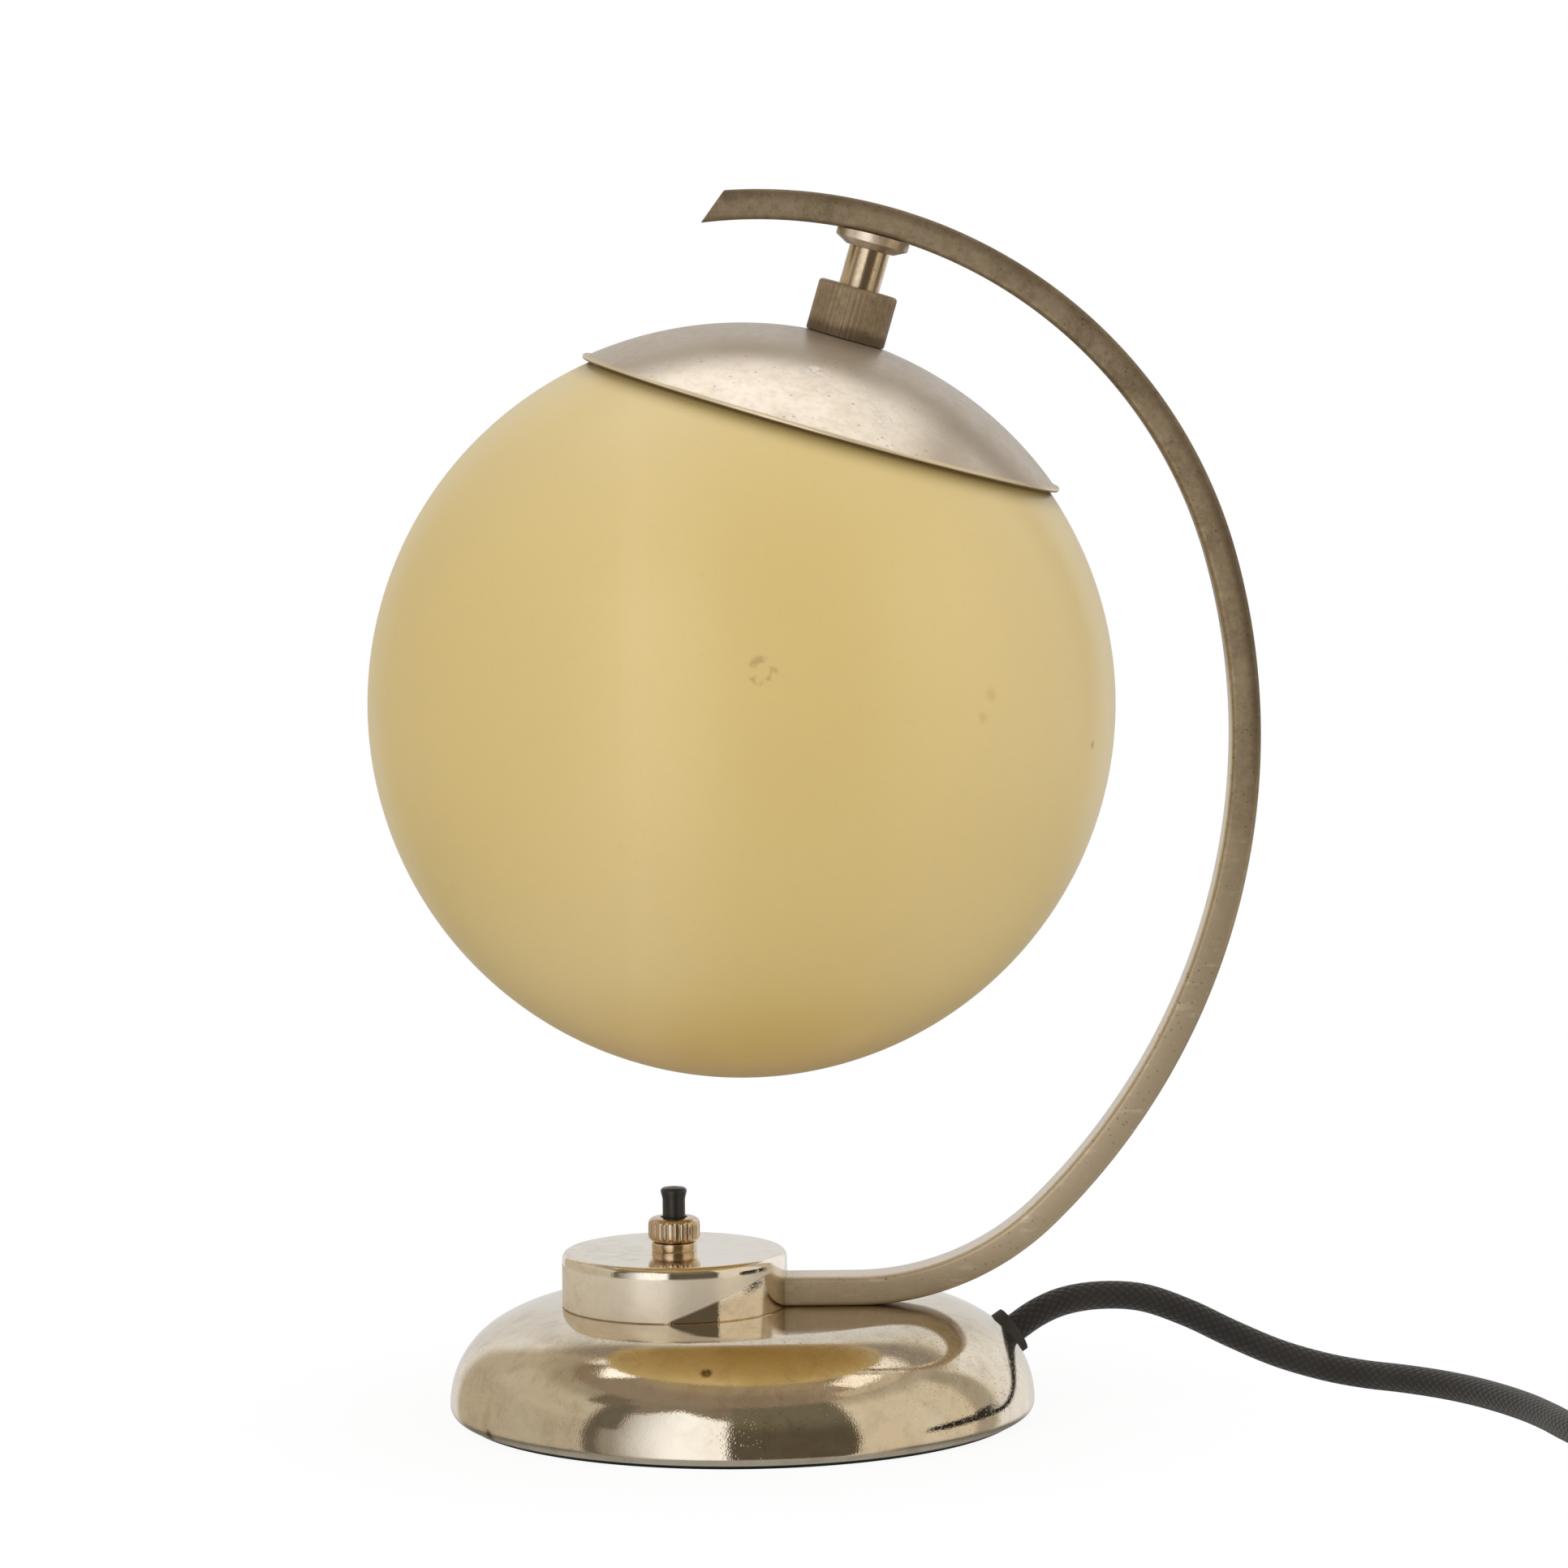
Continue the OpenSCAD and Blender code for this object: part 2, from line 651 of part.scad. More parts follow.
module switch_button() {
    head_z = button_top - 2.8;
    color("black") at_switch() {
        bore(guide_r, guide_low, stop_z);
        bore(stop_r, stop_z, stop_z + stop_t);
        rotate_extrude($fn = 64) polygon(concat([[0, stop_z], [button_r, stop_z], [button_r, head_z]],
            arc([button_head_r - 0.8, button_top - 1.1], 0.8, 0, 70, 5), [[0, button_top]]));
    }
}

module neck_flange() {
    // Its top is hollowed to the curve of the arm's underside
    color("tan") intersection() {
        on_shade() translate([0, 0, flange_z]) rotate_extrude($fn = 64)
            polygon([[neck_bore_r, 0], [flange_foot_r, 0], [flange_r - 0.4, flange_edge_z - 0.3],
                [flange_r, flange_edge_z], [flange_r, flange_h + 2], [neck_bore_r, flange_h + 2]]);
        translate([crook_c[0], 0, crook_c[1]]) rotate([90, 0, 0])
            cylinder(r = crook_r - arm_t / 2 - seat, h = 4 * flange_r, center = true, $fn = 256);
    }
}

module neck_tube() {
    color("tan") on_shade() difference() {
        bore(neck_r, neck_end, flange_z - seat);
        bore(neck_bore_r, neck_end - 1, flange_z);
    }
}

module coupling_nut() {
    recess_r = neck_r + 1.6;
    color("olive") on_shade() translate([0, 0, nut_z]) difference() {
        rotate_extrude($fn = 96) polygon([[neck_r + seat, 1.2], [recess_r, 1.2], [recess_r, nut_hollow],
            [nut_r, 0], [nut_r, nut_h - nut_cut], [nut_r - nut_cut, nut_h], [neck_r + seat, nut_h]]);
        for (i = [1:nut_flutes]) rotate(360 * i / nut_flutes) translate([nut_r + 0.25, 0, -1])
            cylinder(r = 0.45, h = nut_h + 2, $fn = 16);
    }
}

module shade_cap() {
    color("rosybrown") on_shade() rotate_extrude($fn = 128) {
        intersection() {
            difference() {
                circle(cap_r, $fn = 256);
                circle(cap_in_r, $fn = 256);
            }
            translate([neck_r + slip, rim_z]) square([cap_r, cap_r]);
        }
        translate([cap_rim_r, rim_z]) circle(cap_bead_r, $fn = 24);
    }
}

// Strip of thickness t along a list of points, for a bent leg
function strip(p, t) = let(last = len(p) - 1,
    n = [for (i = [0:last]) let(d = unit(p[min(i + 1, last)] - p[max(i - 1, 0)])) [-d[1], d[0]] * t / 2])
    concat([for (i = [0:last]) p[i] + n[i]], [for (i = [last:-1:0]) p[i] - n[i]]);

module spring_spider() {
    mid_z = spider_z + spider_t / 2;
    bead = [globe_mouth_r, bead_z];
    in_r = globe_r - globe_wall;
    leg = [[spider_hub_r - 3, mid_z], [spider_hub_r + 2, mid_z - 0.5], [26, cap_in_r - 6.3],
        [36, cap_in_r - 13], [bead[0] - 3.4, bead[1] - 2], [bead[0] - 2, bead[1] - 5.4],
        [bead[0] + 2.4, sqrt(pow(in_r, 2) - pow(bead[0] + 2.4, 2)) - spider_t]];
    color("silver") on_shade() difference() {
        union() {
            translate([0, 0, spider_z]) cylinder(r = spider_hub_r, h = spider_t, $fn = 64);
            for (a = [0, 120, 240]) rotate(a + 60) rotate([90, 0, 0])
                linear_extrude(spider_w, center = true) polygon(strip(leg, spider_t));
        }
        bore(neck_r + seat, spider_z - 5, spider_z + 5);
    }
}

module glass_globe() {
    color("khaki") on_shade() rotate_extrude($fn = 192) {
        intersection() {
            difference() {
                circle(globe_r, $fn = 256);
                circle(globe_r - globe_wall, $fn = 256);
            }
            translate([0, -globe_r - 1]) square([globe_r + 1, globe_r + 1 + bead_z]);
        }
        translate([globe_mouth_r, bead_z]) circle(globe_bead_r, $fn = 32);
    }
}

module holder_cap() {
    color("goldenrod") on_shade() rotate_extrude($fn = 64) polygon(concat(
        [[neck_r + seat, holder_top], [holder_boss_r, holder_top], [holder_boss_r, holder_top - 2]],
        arc([holder_r - 4, holder_top - holder_step], 4, 90, 0, 6),
        [[holder_r, skirt_top], [holder_r - holder_skirt_wall, skirt_top],
         [holder_r - holder_skirt_wall, insulator_top + 1.6],
         [neck_r + seat, insulator_top + 1.6]]));
}

module holder_sleeve() {
    color("black") on_shade() rotate_extrude($fn = 64) polygon([
        [holder_r - 1.3, insulator_top + 1.5], [holder_r - sleeve_wall, insulator_top + 1.5],
        [holder_r - sleeve_wall, holder_bottom], [holder_r, holder_bottom], [holder_r, skirt_top - seat],
        [holder_r - 1.3, skirt_top - seat]]);
}

module holder_insulator() {
    color("white") on_shade() difference() {
        bore(holder_r - sleeve_wall - seat, insulator_bottom, insulator_top);
        for (s = [-1, 1]) translate([0, s * wire_y * 3, 0]) bore(wire_r + 0.2, insulator_bottom - 1,
            insulator_top + 1);
    }
}

module holder_thread() {
    thread_in = screw_cap_r + 0.2;
    color("goldenrod") on_shade() difference() {
        bore(thread_in + 0.7, holder_bottom + 4, insulator_bottom);
        bore(thread_in, holder_bottom + 3, insulator_bottom + 1);
    }
}

module holder_contact() {
    color("gold") on_shade() {
        bore(1.5, insulator_bottom - contact_h, insulator_bottom);
    }
}

module bulb_cap() {
    color("silver") on_shade() {
        bore(2.4, bulb_top - 1.2, bulb_top);
        translate([0, 0, bulb_top - 1.2 - 2.2]) cylinder(r1 = screw_cap_r, r2 = 3, h = 2.2, $fn = 64);
        bore(screw_cap_r, bulb_top - bulb_cap_len, bulb_top - 3.4);
    }
}

module bulb_glass() {
    neck_low = bulb_c_z + bulb_r * 0.8;
    color("white") on_shade() difference() {
        bulb_form(0, neck_low);
        bulb_form(0.7, neck_low);
    }
}

module bulb_form(w, neck_low) {
    translate([0, 0, bulb_c_z]) sphere(bulb_r - w);
    translate([0, 0, neck_low]) cylinder(r1 = bulb_r * 0.6 - w, r2 = screw_cap_r - 0.4 - w,
        h = bulb_top - bulb_cap_len - neck_low - w, $fn = 64);
}

module cord_grommet() {
    color("black") difference() {
        at_exit() {
            bore(grommet_r, -1, grommet_out);
            bore(grommet_hole_r - slip, -grommet_in + 0.1, 0);
            bore(grommet_hole_r + grommet_lip, -grommet_in, -grommet_in + grommet_lip_t);
        }
        at_exit() bore(cord_r + seat, -grommet_in - 1, grommet_out + 1);
        // The flange sits on the curved shoulder
        difference() {
            rotate_extrude($fn = 128) polygon(concat([[0, base_h]], foot_outline(seat), [[0, belly_z]]));
            at_exit() bore(grommet_hole_r - slip, -20, 1);
            rotate_extrude($fn = 128) polygon(concat([[0, base_h]], foot_outline(-base_wall - seat),
                [[0, 0]]));
        }
    }
}

module cord_tail() {
    color("black") at_exit() bore(cord_r, -tail_in, grommet_out);
}

module cord_collar() {
    color("silver") at_exit() difference() {
        union() {
            bore(cord_r + 1.6, collar_mid - collar_len / 2, collar_mid + collar_len / 2);
            translate([0, clamp_y - 1, collar_mid]) cube([4.6, 5, collar_len], center = true);
        }
        bore(cord_r + seat, -20, 0);
        translate([-clamp_slit / 2, 0, -20]) cube([clamp_slit, 10, 20]);
        translate([-5, clamp_y, collar_mid]) rotate([0, 90, 0]) cylinder(r = 1.05, h = 10, $fn = 32);
    }
}

module collar_screw() {
    color("silver") at_exit() translate([-2.3, clamp_y, collar_mid]) rotate([0, 90, 0]) {
        cylinder(r = 1, h = 5.4, $fn = 32);
        translate([0, 0, -1.4]) cylinder(r = 1.9, h = 1.4 - seat, $fn = 32);
    }
}

module wire_connector() {
    color("ivory") translate([connector_p[0], connector_p[1], weight_top]) difference() {
        cube(connector_size);
        for (x = [3.5, 10.5]) translate([x, connector_size[1] / 2, connector_size[2] / 2])
            cylinder(r = connector_hole_r, h = connector_size[2], $fn = 32);
    }
}

module cord_cores() {
    tail_end = exit_p - (tail_in + seat) * exit_dir;
    side = [-sin(exit_az), cos(exit_az), 0] * 1.3;
    inward = -5 * exit_dir;
    block_face = connector_p[0] + connector_size[0] + 2 * seat;
    color("steelblue") tube([tail_end - side, tail_end - side + inward * 0.6, [42, 10.5, 7.5],
        [38.6, 9.6, 12.4], [36.2, 9.1, 16.2], [34.8, connector_y, connector_z],
        [block_face, connector_y, connector_z]], wire_r, 6);
    color("sienna") tube([tail_end + side, tail_end + side + inward * 0.6, [43, 15.5, 8.5], [39, 18, 14.8],
        [32, 19.5, wire_rest_z], [18, 19, wire_rest_z],
        [0, 13.5, wire_rest_z], [terminal_x, terminal_y, wire_rest_z]], wire_r, 6);
}

module cord_lead() {
    color("black") tube(lead_route, cord_r, 10);
}

module cord_coil() {
    color("black") tube(coil_path, cord_r, 6);
}

module cord_tie() {
    turn = coil_pitch / 360;
    back_a_in = (tie_a - coil_start_a + 360) * turn;
    out_r = coil_out_r - back_a_in + cord_r + tie_slack;
    in_r = out_r - 2 * coil_pitch - cord_d - 2 * tie_slack;
    high = lead_end[2] + coil_rise + cord_r + loose;
    color("dimgray") translate([coil_c[0], coil_c[1], 0]) rotate(tie_a) translate([(in_r + out_r) / 2, 0, 0])
        rotate([90, 0, 0]) linear_extrude(tie_w, center = true)
            translate([0, (high + tie_t) / 2]) difference() {
                round_rect(out_r - in_r + 2 * tie_t, high + tie_t, 2 * tie_t);
                round_rect(out_r - in_r, high - tie_t, tie_t);
            }
}

module plug_relief() {
    ribs = 6;
    tip_r = cord_r + 0.5;
    end_r = cord_r + 3;
    color("black") at_plug() difference() {
        cylinder(r1 = tip_r, r2 = end_r, h = relief_len, $fn = 48);
        for (i = [1:ribs - 1]) let(z = relief_len * i / ribs, r = tip_r + (end_r - tip_r) * i / ribs)
            translate([0, 0, z]) rotate_extrude($fn = 48) translate([r - 0.5, 0]) square([4, 1.4]);
    }
}

module plug_body() {
    neck = 6.6;
    full = plug_w / 2;
    color("black") at_plug() translate([0, 0, relief_len]) intersection() {
        rotate_extrude($fn = 96) polygon(concat([[0, 0], [neck, 0]],
            arc([neck, full - neck + 1], full - neck + 1, -90, -8, 8),
            [[full, plug_len - 3]], arc([full - 1.5, plug_len - 1.5], 1.5, 0, 90, 4), [[0, plug_len]]));
        translate([-plug_t / 2, -plug_w, -1]) cube([plug_t, 2 * plug_w, plug_len + 2]);
    }
}

module plug_pins() {
    pin_r = 2.4;
    color("gold") at_plug() for (s = [-1, 1])
        translate([0, s * pin_gap / 2, relief_len + plug_len]) {
            cylinder(r = pin_r, h = pin_len - 1.2, $fn = 32);
            translate([0, 0, pin_len - 1.2]) cylinder(r1 = pin_r, r2 = pin_r - 1, h = 1.2, $fn = 32);
        }
}

base_shell();
base_weight();
base_plate();
felt_pad();
clamp_posts();
clamp_screws();
arm();
arm_foot_block();
arm_screws();
arm_washers();
arm_wires();
switch_drum();
switch_body();
switch_bush();
switch_ring();
switch_collar_nut();
switch_terminals();
switch_spring();
switch_button();
neck_flange();
neck_tube();
coupling_nut();
shade_cap();
spring_spider();
glass_globe();
holder_cap();
holder_sleeve();
holder_insulator();
holder_thread();
holder_contact();
bulb_cap();
bulb_glass();
cord_grommet();
cord_tail();
cord_collar();
collar_screw();
wire_connector();
cord_cores();
cord_lead();
cord_coil();
cord_tie();
plug_relief();
plug_body();
plug_pins();
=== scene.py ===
import math

import bmesh
import bpy
from mathutils import Matrix, Vector


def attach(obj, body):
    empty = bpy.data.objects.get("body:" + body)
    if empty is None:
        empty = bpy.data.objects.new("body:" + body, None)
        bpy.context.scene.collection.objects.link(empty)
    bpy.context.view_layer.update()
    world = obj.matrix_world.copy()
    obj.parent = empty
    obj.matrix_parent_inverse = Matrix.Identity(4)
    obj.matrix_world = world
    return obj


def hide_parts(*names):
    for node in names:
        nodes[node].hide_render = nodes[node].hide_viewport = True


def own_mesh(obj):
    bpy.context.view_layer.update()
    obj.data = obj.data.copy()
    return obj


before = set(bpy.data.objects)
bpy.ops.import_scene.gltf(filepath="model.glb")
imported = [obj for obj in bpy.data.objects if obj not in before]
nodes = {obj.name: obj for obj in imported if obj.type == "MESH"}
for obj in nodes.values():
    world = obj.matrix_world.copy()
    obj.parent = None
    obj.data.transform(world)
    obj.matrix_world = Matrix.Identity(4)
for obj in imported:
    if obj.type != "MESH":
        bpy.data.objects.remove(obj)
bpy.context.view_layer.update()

scene = bpy.context.scene
MM = 0.001      # sizes are in millimetres and angles in degrees, and every mesh is made in metres
SHARP = 38      # edges with a wider angle than this stay crisp
ROUND = 256     # steps round a large turned piece
SMALL_ROUND = 96

# Sizes, named as in part.scad where it has them. The foot is a spun shell with its edge tucked under
base_r = 63.2
base_h = 23.9
base_top_r = 39
belly_z = 3
shoulder_r = 19.5
tuck_r = 2.2
base_wall = 1
arm_screw_x = (1, 7.5)
arm_screw_hole_r = 1.8
wire_hole_x = 15.5
wire_hole_r = 3.5
# The arm is one rectangular tube: straight on the foot, then heel, back and crook
arm_w = 10
arm_t = 6.4
arm_edge_r = 1.2
arm_start_x = -5
arm_bend_x = 25
heel_r = 58
heel_a = 44.1
back_r = 144
back_a = 61.3
crook_r = 102.7
crook_a = 79.4
tip_cut_a = 41
tip_bevel = 0.25
# Neck between the arm and the shade
neck_a = 15
shade_tilt = 16.3
flange_h = 3.4
neck_len = 8.5
neck_r = 4.4
nut_r = 8.6
nut_h = 11.2
nut_flutes = 44
# Glass ball and its cap
globe_r = 80
globe_wall = 2.5
mouth_r = 44
globe_bead_r = 1.6
cap_gap = 0.6
cap_wall = 0.9
cap_rim_r = 52.2
cap_bead_r = 0.6
# Drum and push switch
switch_x = -14.4
switch_r = 8
switch_flange_t = 3.1
cavity_floor = 1.3
drum_r = 24.3
drum_h = 11.9
drum_edge_r = 1.6
drum_wall = 0.9
bush_r = 4
bush_inside = 3.2
ring_r = 4.9
ring_h = 1.9
collar_r = 5.6
collar_h = 5.3
collar_flutes = 24
button_r = 2.45
button_head_r = 2.85
button_out = 6.7
button_travel = 3
guide_r = 1.6
stop_r = 3.4
stop_t = 1.4
spring_r = 2.6
spring_wire_r = 0.3
# Mains cord
cord_d = 6.2
exit_az = 17.5
exit_el = 31
grommet_out = 2.2
grommet_hole_r = 4.4
coil_pitch = 6.8
coil_mid_r = 37
coil_turns = 3.25
coil_start_a = 225
# Gaps between pieces: where they rest, in a bore, beside what passes through, and with play
seat = 0.05
slip = 0.1
gap = 0.08
loose = 0.3


def sin(a):
    return math.sin(math.radians(a))


def cos(a):
    return math.cos(math.radians(a))


def on_bend(centre, r, a):
    """A point of an arc in the plane y = 0, at angle a from its lowest point."""
    return Vector((centre[0] + r * sin(a), 0, centre[1] - r * cos(a)))


arm_z = base_h + arm_t / 2
heel_c = (arm_bend_x, arm_z + heel_r)
back_c = (heel_c[0] + (heel_r - back_r) * sin(heel_a), heel_c[1] - (heel_r - back_r) * cos(heel_a))
crook_from = heel_a + back_a
crook_c = (back_c[0] + (back_r - crook_r) * sin(crook_from),
           back_c[1] - (back_r - crook_r) * cos(crook_from))
tip_a = crook_from + crook_a
neck_p = on_bend(crook_c, crook_r, 180 - neck_a)
cap_r = globe_r + cap_gap + cap_wall
nut_z = math.sqrt(cap_r ** 2 - nut_r ** 2) + seat
rim_z = math.sqrt(cap_r ** 2 - cap_rim_r ** 2)      # height of the cap's rim above the middle of the ball
neck_drop = nut_z + nut_h + neck_len + flange_h + arm_t / 2
globe_c = Vector((neck_p.x - neck_drop * sin(shade_tilt), 0, neck_p.z - neck_drop * cos(shade_tilt)))
SHADE = Matrix.Translation(globe_c) @ Matrix.Rotation(math.radians(shade_tilt), 4, "Y")

# Camera, solved from the photo, which is 1932 pixels wide
focal_px = 7735
camera_at = (0.0103, -1.340, 0.268)
camera_down = 5.6
camera_roll = -0.58
cam_data = bpy.data.cameras.new("photo_view")
cam_data.sensor_fit = "HORIZONTAL"
cam_data.sensor_width = 36
cam_data.lens = focal_px / 1932 * 36
cam_data.clip_start = 0.05
cam_data.clip_end = 30
camera = bpy.data.objects.new("photo_view", cam_data)
camera.matrix_world = (Matrix.Translation(camera_at)
                       @ Matrix.Rotation(math.radians(90 - camera_down), 4, "X")
                       @ Matrix.Rotation(math.radians(camera_roll), 4, "Z"))
scene.collection.objects.link(camera)
scene.camera = camera


# Outlines and meshes
def arc(cx, cy, r, a0, a1, n):
    """Points of an arc from angle a0 to a1, in n steps."""
    angles = [a0 + (a1 - a0) * i / n for i in range(n + 1)]
    return [(cx + r * cos(a), cy + r * sin(a)) for a in angles]


def circle(r, n):
    return [(r * cos(360 * k / n), r * sin(360 * k / n)) for k in range(n)]


def rounded(r, z, edge_r, n):
    """A rounded top edge of an outline, from its side at radius r to its top at height z."""
    return arc(r - edge_r, z - edge_r, edge_r, 0, 90, n)


def smooth(mesh, sharp=SHARP):
    for p in mesh.polygons:
        p.use_smooth = True
    mesh.set_sharp_from_angle(angle=math.radians(sharp))


def add_mesh(name, bm, sharp=SHARP):
    bmesh.ops.recalc_face_normals(bm, faces=bm.faces)
    mesh = bpy.data.meshes.new(name)
    bm.to_mesh(mesh)
    bm.free()
    smooth(mesh, sharp)
    obj = bpy.data.objects.new(name, mesh)
    scene.collection.objects.link(obj)
    return obj


def lathe(name, outline, seg, place=None, closed=False, shape=None, sharp=SHARP):
    """A turned piece from an outline of (radius, height) pairs. closed joins the ends of the outline,
    place is a matrix in mm, and shape(radius, angle) may change the radius."""
    bm = bmesh.new()
    rings = []
    for r, z in outline:
        if r < 1e-6:
            rings.append([bm.verts.new((0, 0, z))])
            continue
        ring = []
        for k in range(seg):
            a = 360 * k / seg
            r_here = shape(r, a) if shape else r
            ring.append(bm.verts.new((r_here * cos(a), r_here * sin(a), z)))
        rings.append(ring)
    pairs = list(zip(rings, rings[1:]))
    if closed:
        pairs.append((rings[-1], rings[0]))
    for one, two in pairs:
        for k in range(seg):
            after = (k + 1) % seg
            quad = [one[k % len(one)], one[after % len(one)], two[after % len(two)], two[k % len(two)]]
            corners = [v for i, v in enumerate(quad) if v not in quad[:i]]
            if len(corners) > 2:
                bm.faces.new(corners)
    bmesh.ops.transform(bm, matrix=Matrix.Scale(MM, 4) @ (place or Matrix.Identity(4)), verts=bm.verts)
    return add_mesh(name, bm, sharp)


def sweep(points, section, up, uv=False):
    """A section of (side, up) pairs carried along points, where up(tangent) gives the up direction.
    With uv, the map "around" holds the share of the way round the section and the metres along."""
    bm = bmesh.new()
    layer = bm.loops.layers.uv.new("around") if uv else None
    rings = []
    run = [0.0]
    for i, p in enumerate(points):
        tangent = (points[min(i + 1, len(points) - 1)] - points[max(i - 1, 0)]).normalized()
        side = tangent.cross(up(tangent)).normalized()
        top = side.cross(tangent).normalized()
        rings.append([bm.verts.new((p + side * x + top * y) * MM) for x, y in section])
        if i:
            run.append(run[-1] + (p - points[i - 1]).length)
    n = len(section)
    for i in range(len(rings) - 1):
        for k in range(n):
            after = (k + 1) % n
            face = bm.faces.new((rings[i][k], rings[i][after], rings[i + 1][after], rings[i + 1][k]))
            if layer:
                for loop, (a, b) in zip(face.loops, ((k, i), (k + 1, i), (k + 1, i + 1), (k, i + 1))):
                    loop[layer].uv = (a / n, run[b] * MM)
    bm.faces.new(rings[0])
    bm.faces.new(list(reversed(rings[-1])))
    return bm


def upright(tangent):
    return Vector((0, 0, 1))


def block(x, y, z):
    """A box between two limits along each axis."""
    bm = bmesh.new()
    bmesh.ops.create_cube(bm, size=1)
    for v in bm.verts:
        v.co = Vector([limits[1] if c > 0 else limits[0] for c, limits in zip(v.co, (x, y, z))]) * MM
    return add_mesh("cutter", bm)


def rod(r, z0, z1, place):
    return lathe("cutter", [(0, z0), (r, z0), (r, z1), (0, z1)], SMALL_ROUND, place)


def cut(obj, *tools):
    """Takes the tools out of obj, and deletes them."""
    for tool in tools:
        step = obj.modifiers.new("cut", "BOOLEAN")
        step.object = tool
        step.operation = "DIFFERENCE"
        step.solver = "EXACT"
        depsgraph = bpy.context.evaluated_depsgraph_get()
        mesh = bpy.data.meshes.new_from_object(obj.evaluated_get(depsgraph))
        obj.modifiers.clear()
        obj.data = mesh
        bpy.data.objects.remove(tool)
        smooth(mesh)


# The cord comes first of all the pieces, on the route of part.scad
exit_r = base_r - shoulder_r + shoulder_r * cos(exit_el)
exit_p = Vector((exit_r * cos(exit_az), exit_r * sin(exit_az), belly_z + shoulder_r * sin(exit_el)))
exit_dir = Vector((cos(exit_el) * cos(exit_az), cos(exit_el) * sin(exit_az), sin(exit_el)))
lies = cord_d / 2       # height of the cord's middle where it lies on the floor
tail = [exit_p - 9.5 * exit_dir, exit_p - 4 * exit_dir]     # inside the foot, straight behind its exit
lead = [exit_p + grommet_out * exit_dir, exit_p + (grommet_out + 6) * exit_dir]
lead += [Vector(p) for p in (
    (70, 22, 19.5), (78, 24, 20.5), (88, 26, 19.6), (98, 26.5, 16), (108, 26, 11.2), (118, 25, 7),
    (128, 23.5, 4.2), (136, 20.5, lies), (145, 14, lies), (153, 6.5, lies), (160, -3, lies), (167, -17, lies),
    (171, -29, lies), (174, -41, lies), (178, -54, lies), (184, -66, 3.4), (188, -71, 3.9), (192, -75, 3.9))]


def between(a, at_a, b, at_b, t):
    return (at_b - t) / (at_b - at_a) * a + (t - at_a) / (at_b - at_a) * b


def smooth_line(p, step):
    """Points along a centripetal spline through p, about step apart."""
    out = []
    for i in range(len(p) - 1):
        p0 = p[i - 1] if i else 2 * p[0] - p[1]
        p1, p2 = p[i], p[i + 1]
        p3 = p[i + 2] if i + 2 < len(p) else 2 * p[-1] - p[-2]
        t0 = 0
        t1 = t0 + math.sqrt((p1 - p0).length)
        t2 = t1 + math.sqrt((p2 - p1).length)
        t3 = t2 + math.sqrt((p3 - p2).length)
        n = max(1, round((p2 - p1).length / step))
        for k in range(n):
            t = t1 + (t2 - t1) * k / n
            b1 = between(p0, t0, p1, t1, t)
            b2 = between(p1, t1, p2, t2, t)
            b3 = between(p2, t2, p3, t3, t)
            c1 = between(b1, t0, b2, t2, t)
            c2 = between(b2, t1, b3, t3, t)
            out.append(between(c1, t1, c2, t2, t))
    return out + [p[-1].copy()]


layer_a = 360 * coil_turns      # degrees of turning in each of the coil's two layers
coil_step = 5
climb_a = 180
coil_in_r = coil_mid_r - coil_pitch * coil_turns / 2
coil_out_r = coil_in_r + coil_pitch * coil_turns
coil_c = (lead[-1] + cord_d * Vector((-sin(coil_start_a), cos(coil_start_a), 0))
          - coil_out_r * Vector((cos(coil_start_a), sin(coil_start_a), 0)))


def coil_at(t):
    """The cord's middle after t degrees: inwards on the lower layer, and outwards again on the upper one."""
    r = coil_in_r + coil_pitch * abs(t - layer_a) / 360
    a = coil_start_a + t
    k = min(1, max(0, (t - layer_a + climb_a / 2) / climb_a))
    z = lead[-1].z + coil_pitch * k * k * (3 - 2 * k)
    return Vector((coil_c.x + r * cos(a), coil_c.y + r * sin(a), z))


turns = [coil_at(coil_step * i) for i in range(int(2 * layer_a / coil_step) + 1)]
end_a = coil_start_a + 2 * layer_a
coil_end = turns[-1] + cord_d * Vector((-sin(end_a), cos(end_a), 0))
cord_line = smooth_line(tail + lead, 1.5)[:-1] + smooth_line([lead[-1], turns[0]], 2)[:-1]
cord_line += turns + [coil_end]
cord_sides = 20
bm = sweep(cord_line, circle(lies, cord_sides), upright, uv=True)
for v in bm.verts:
    v.co.z = max(v.co.z, 0)      # it lies on the floor
cord = add_mesh("mains_cord", bm)
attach(cord, "root")
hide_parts("cord_lead", "cord_coil", "cord_tail")


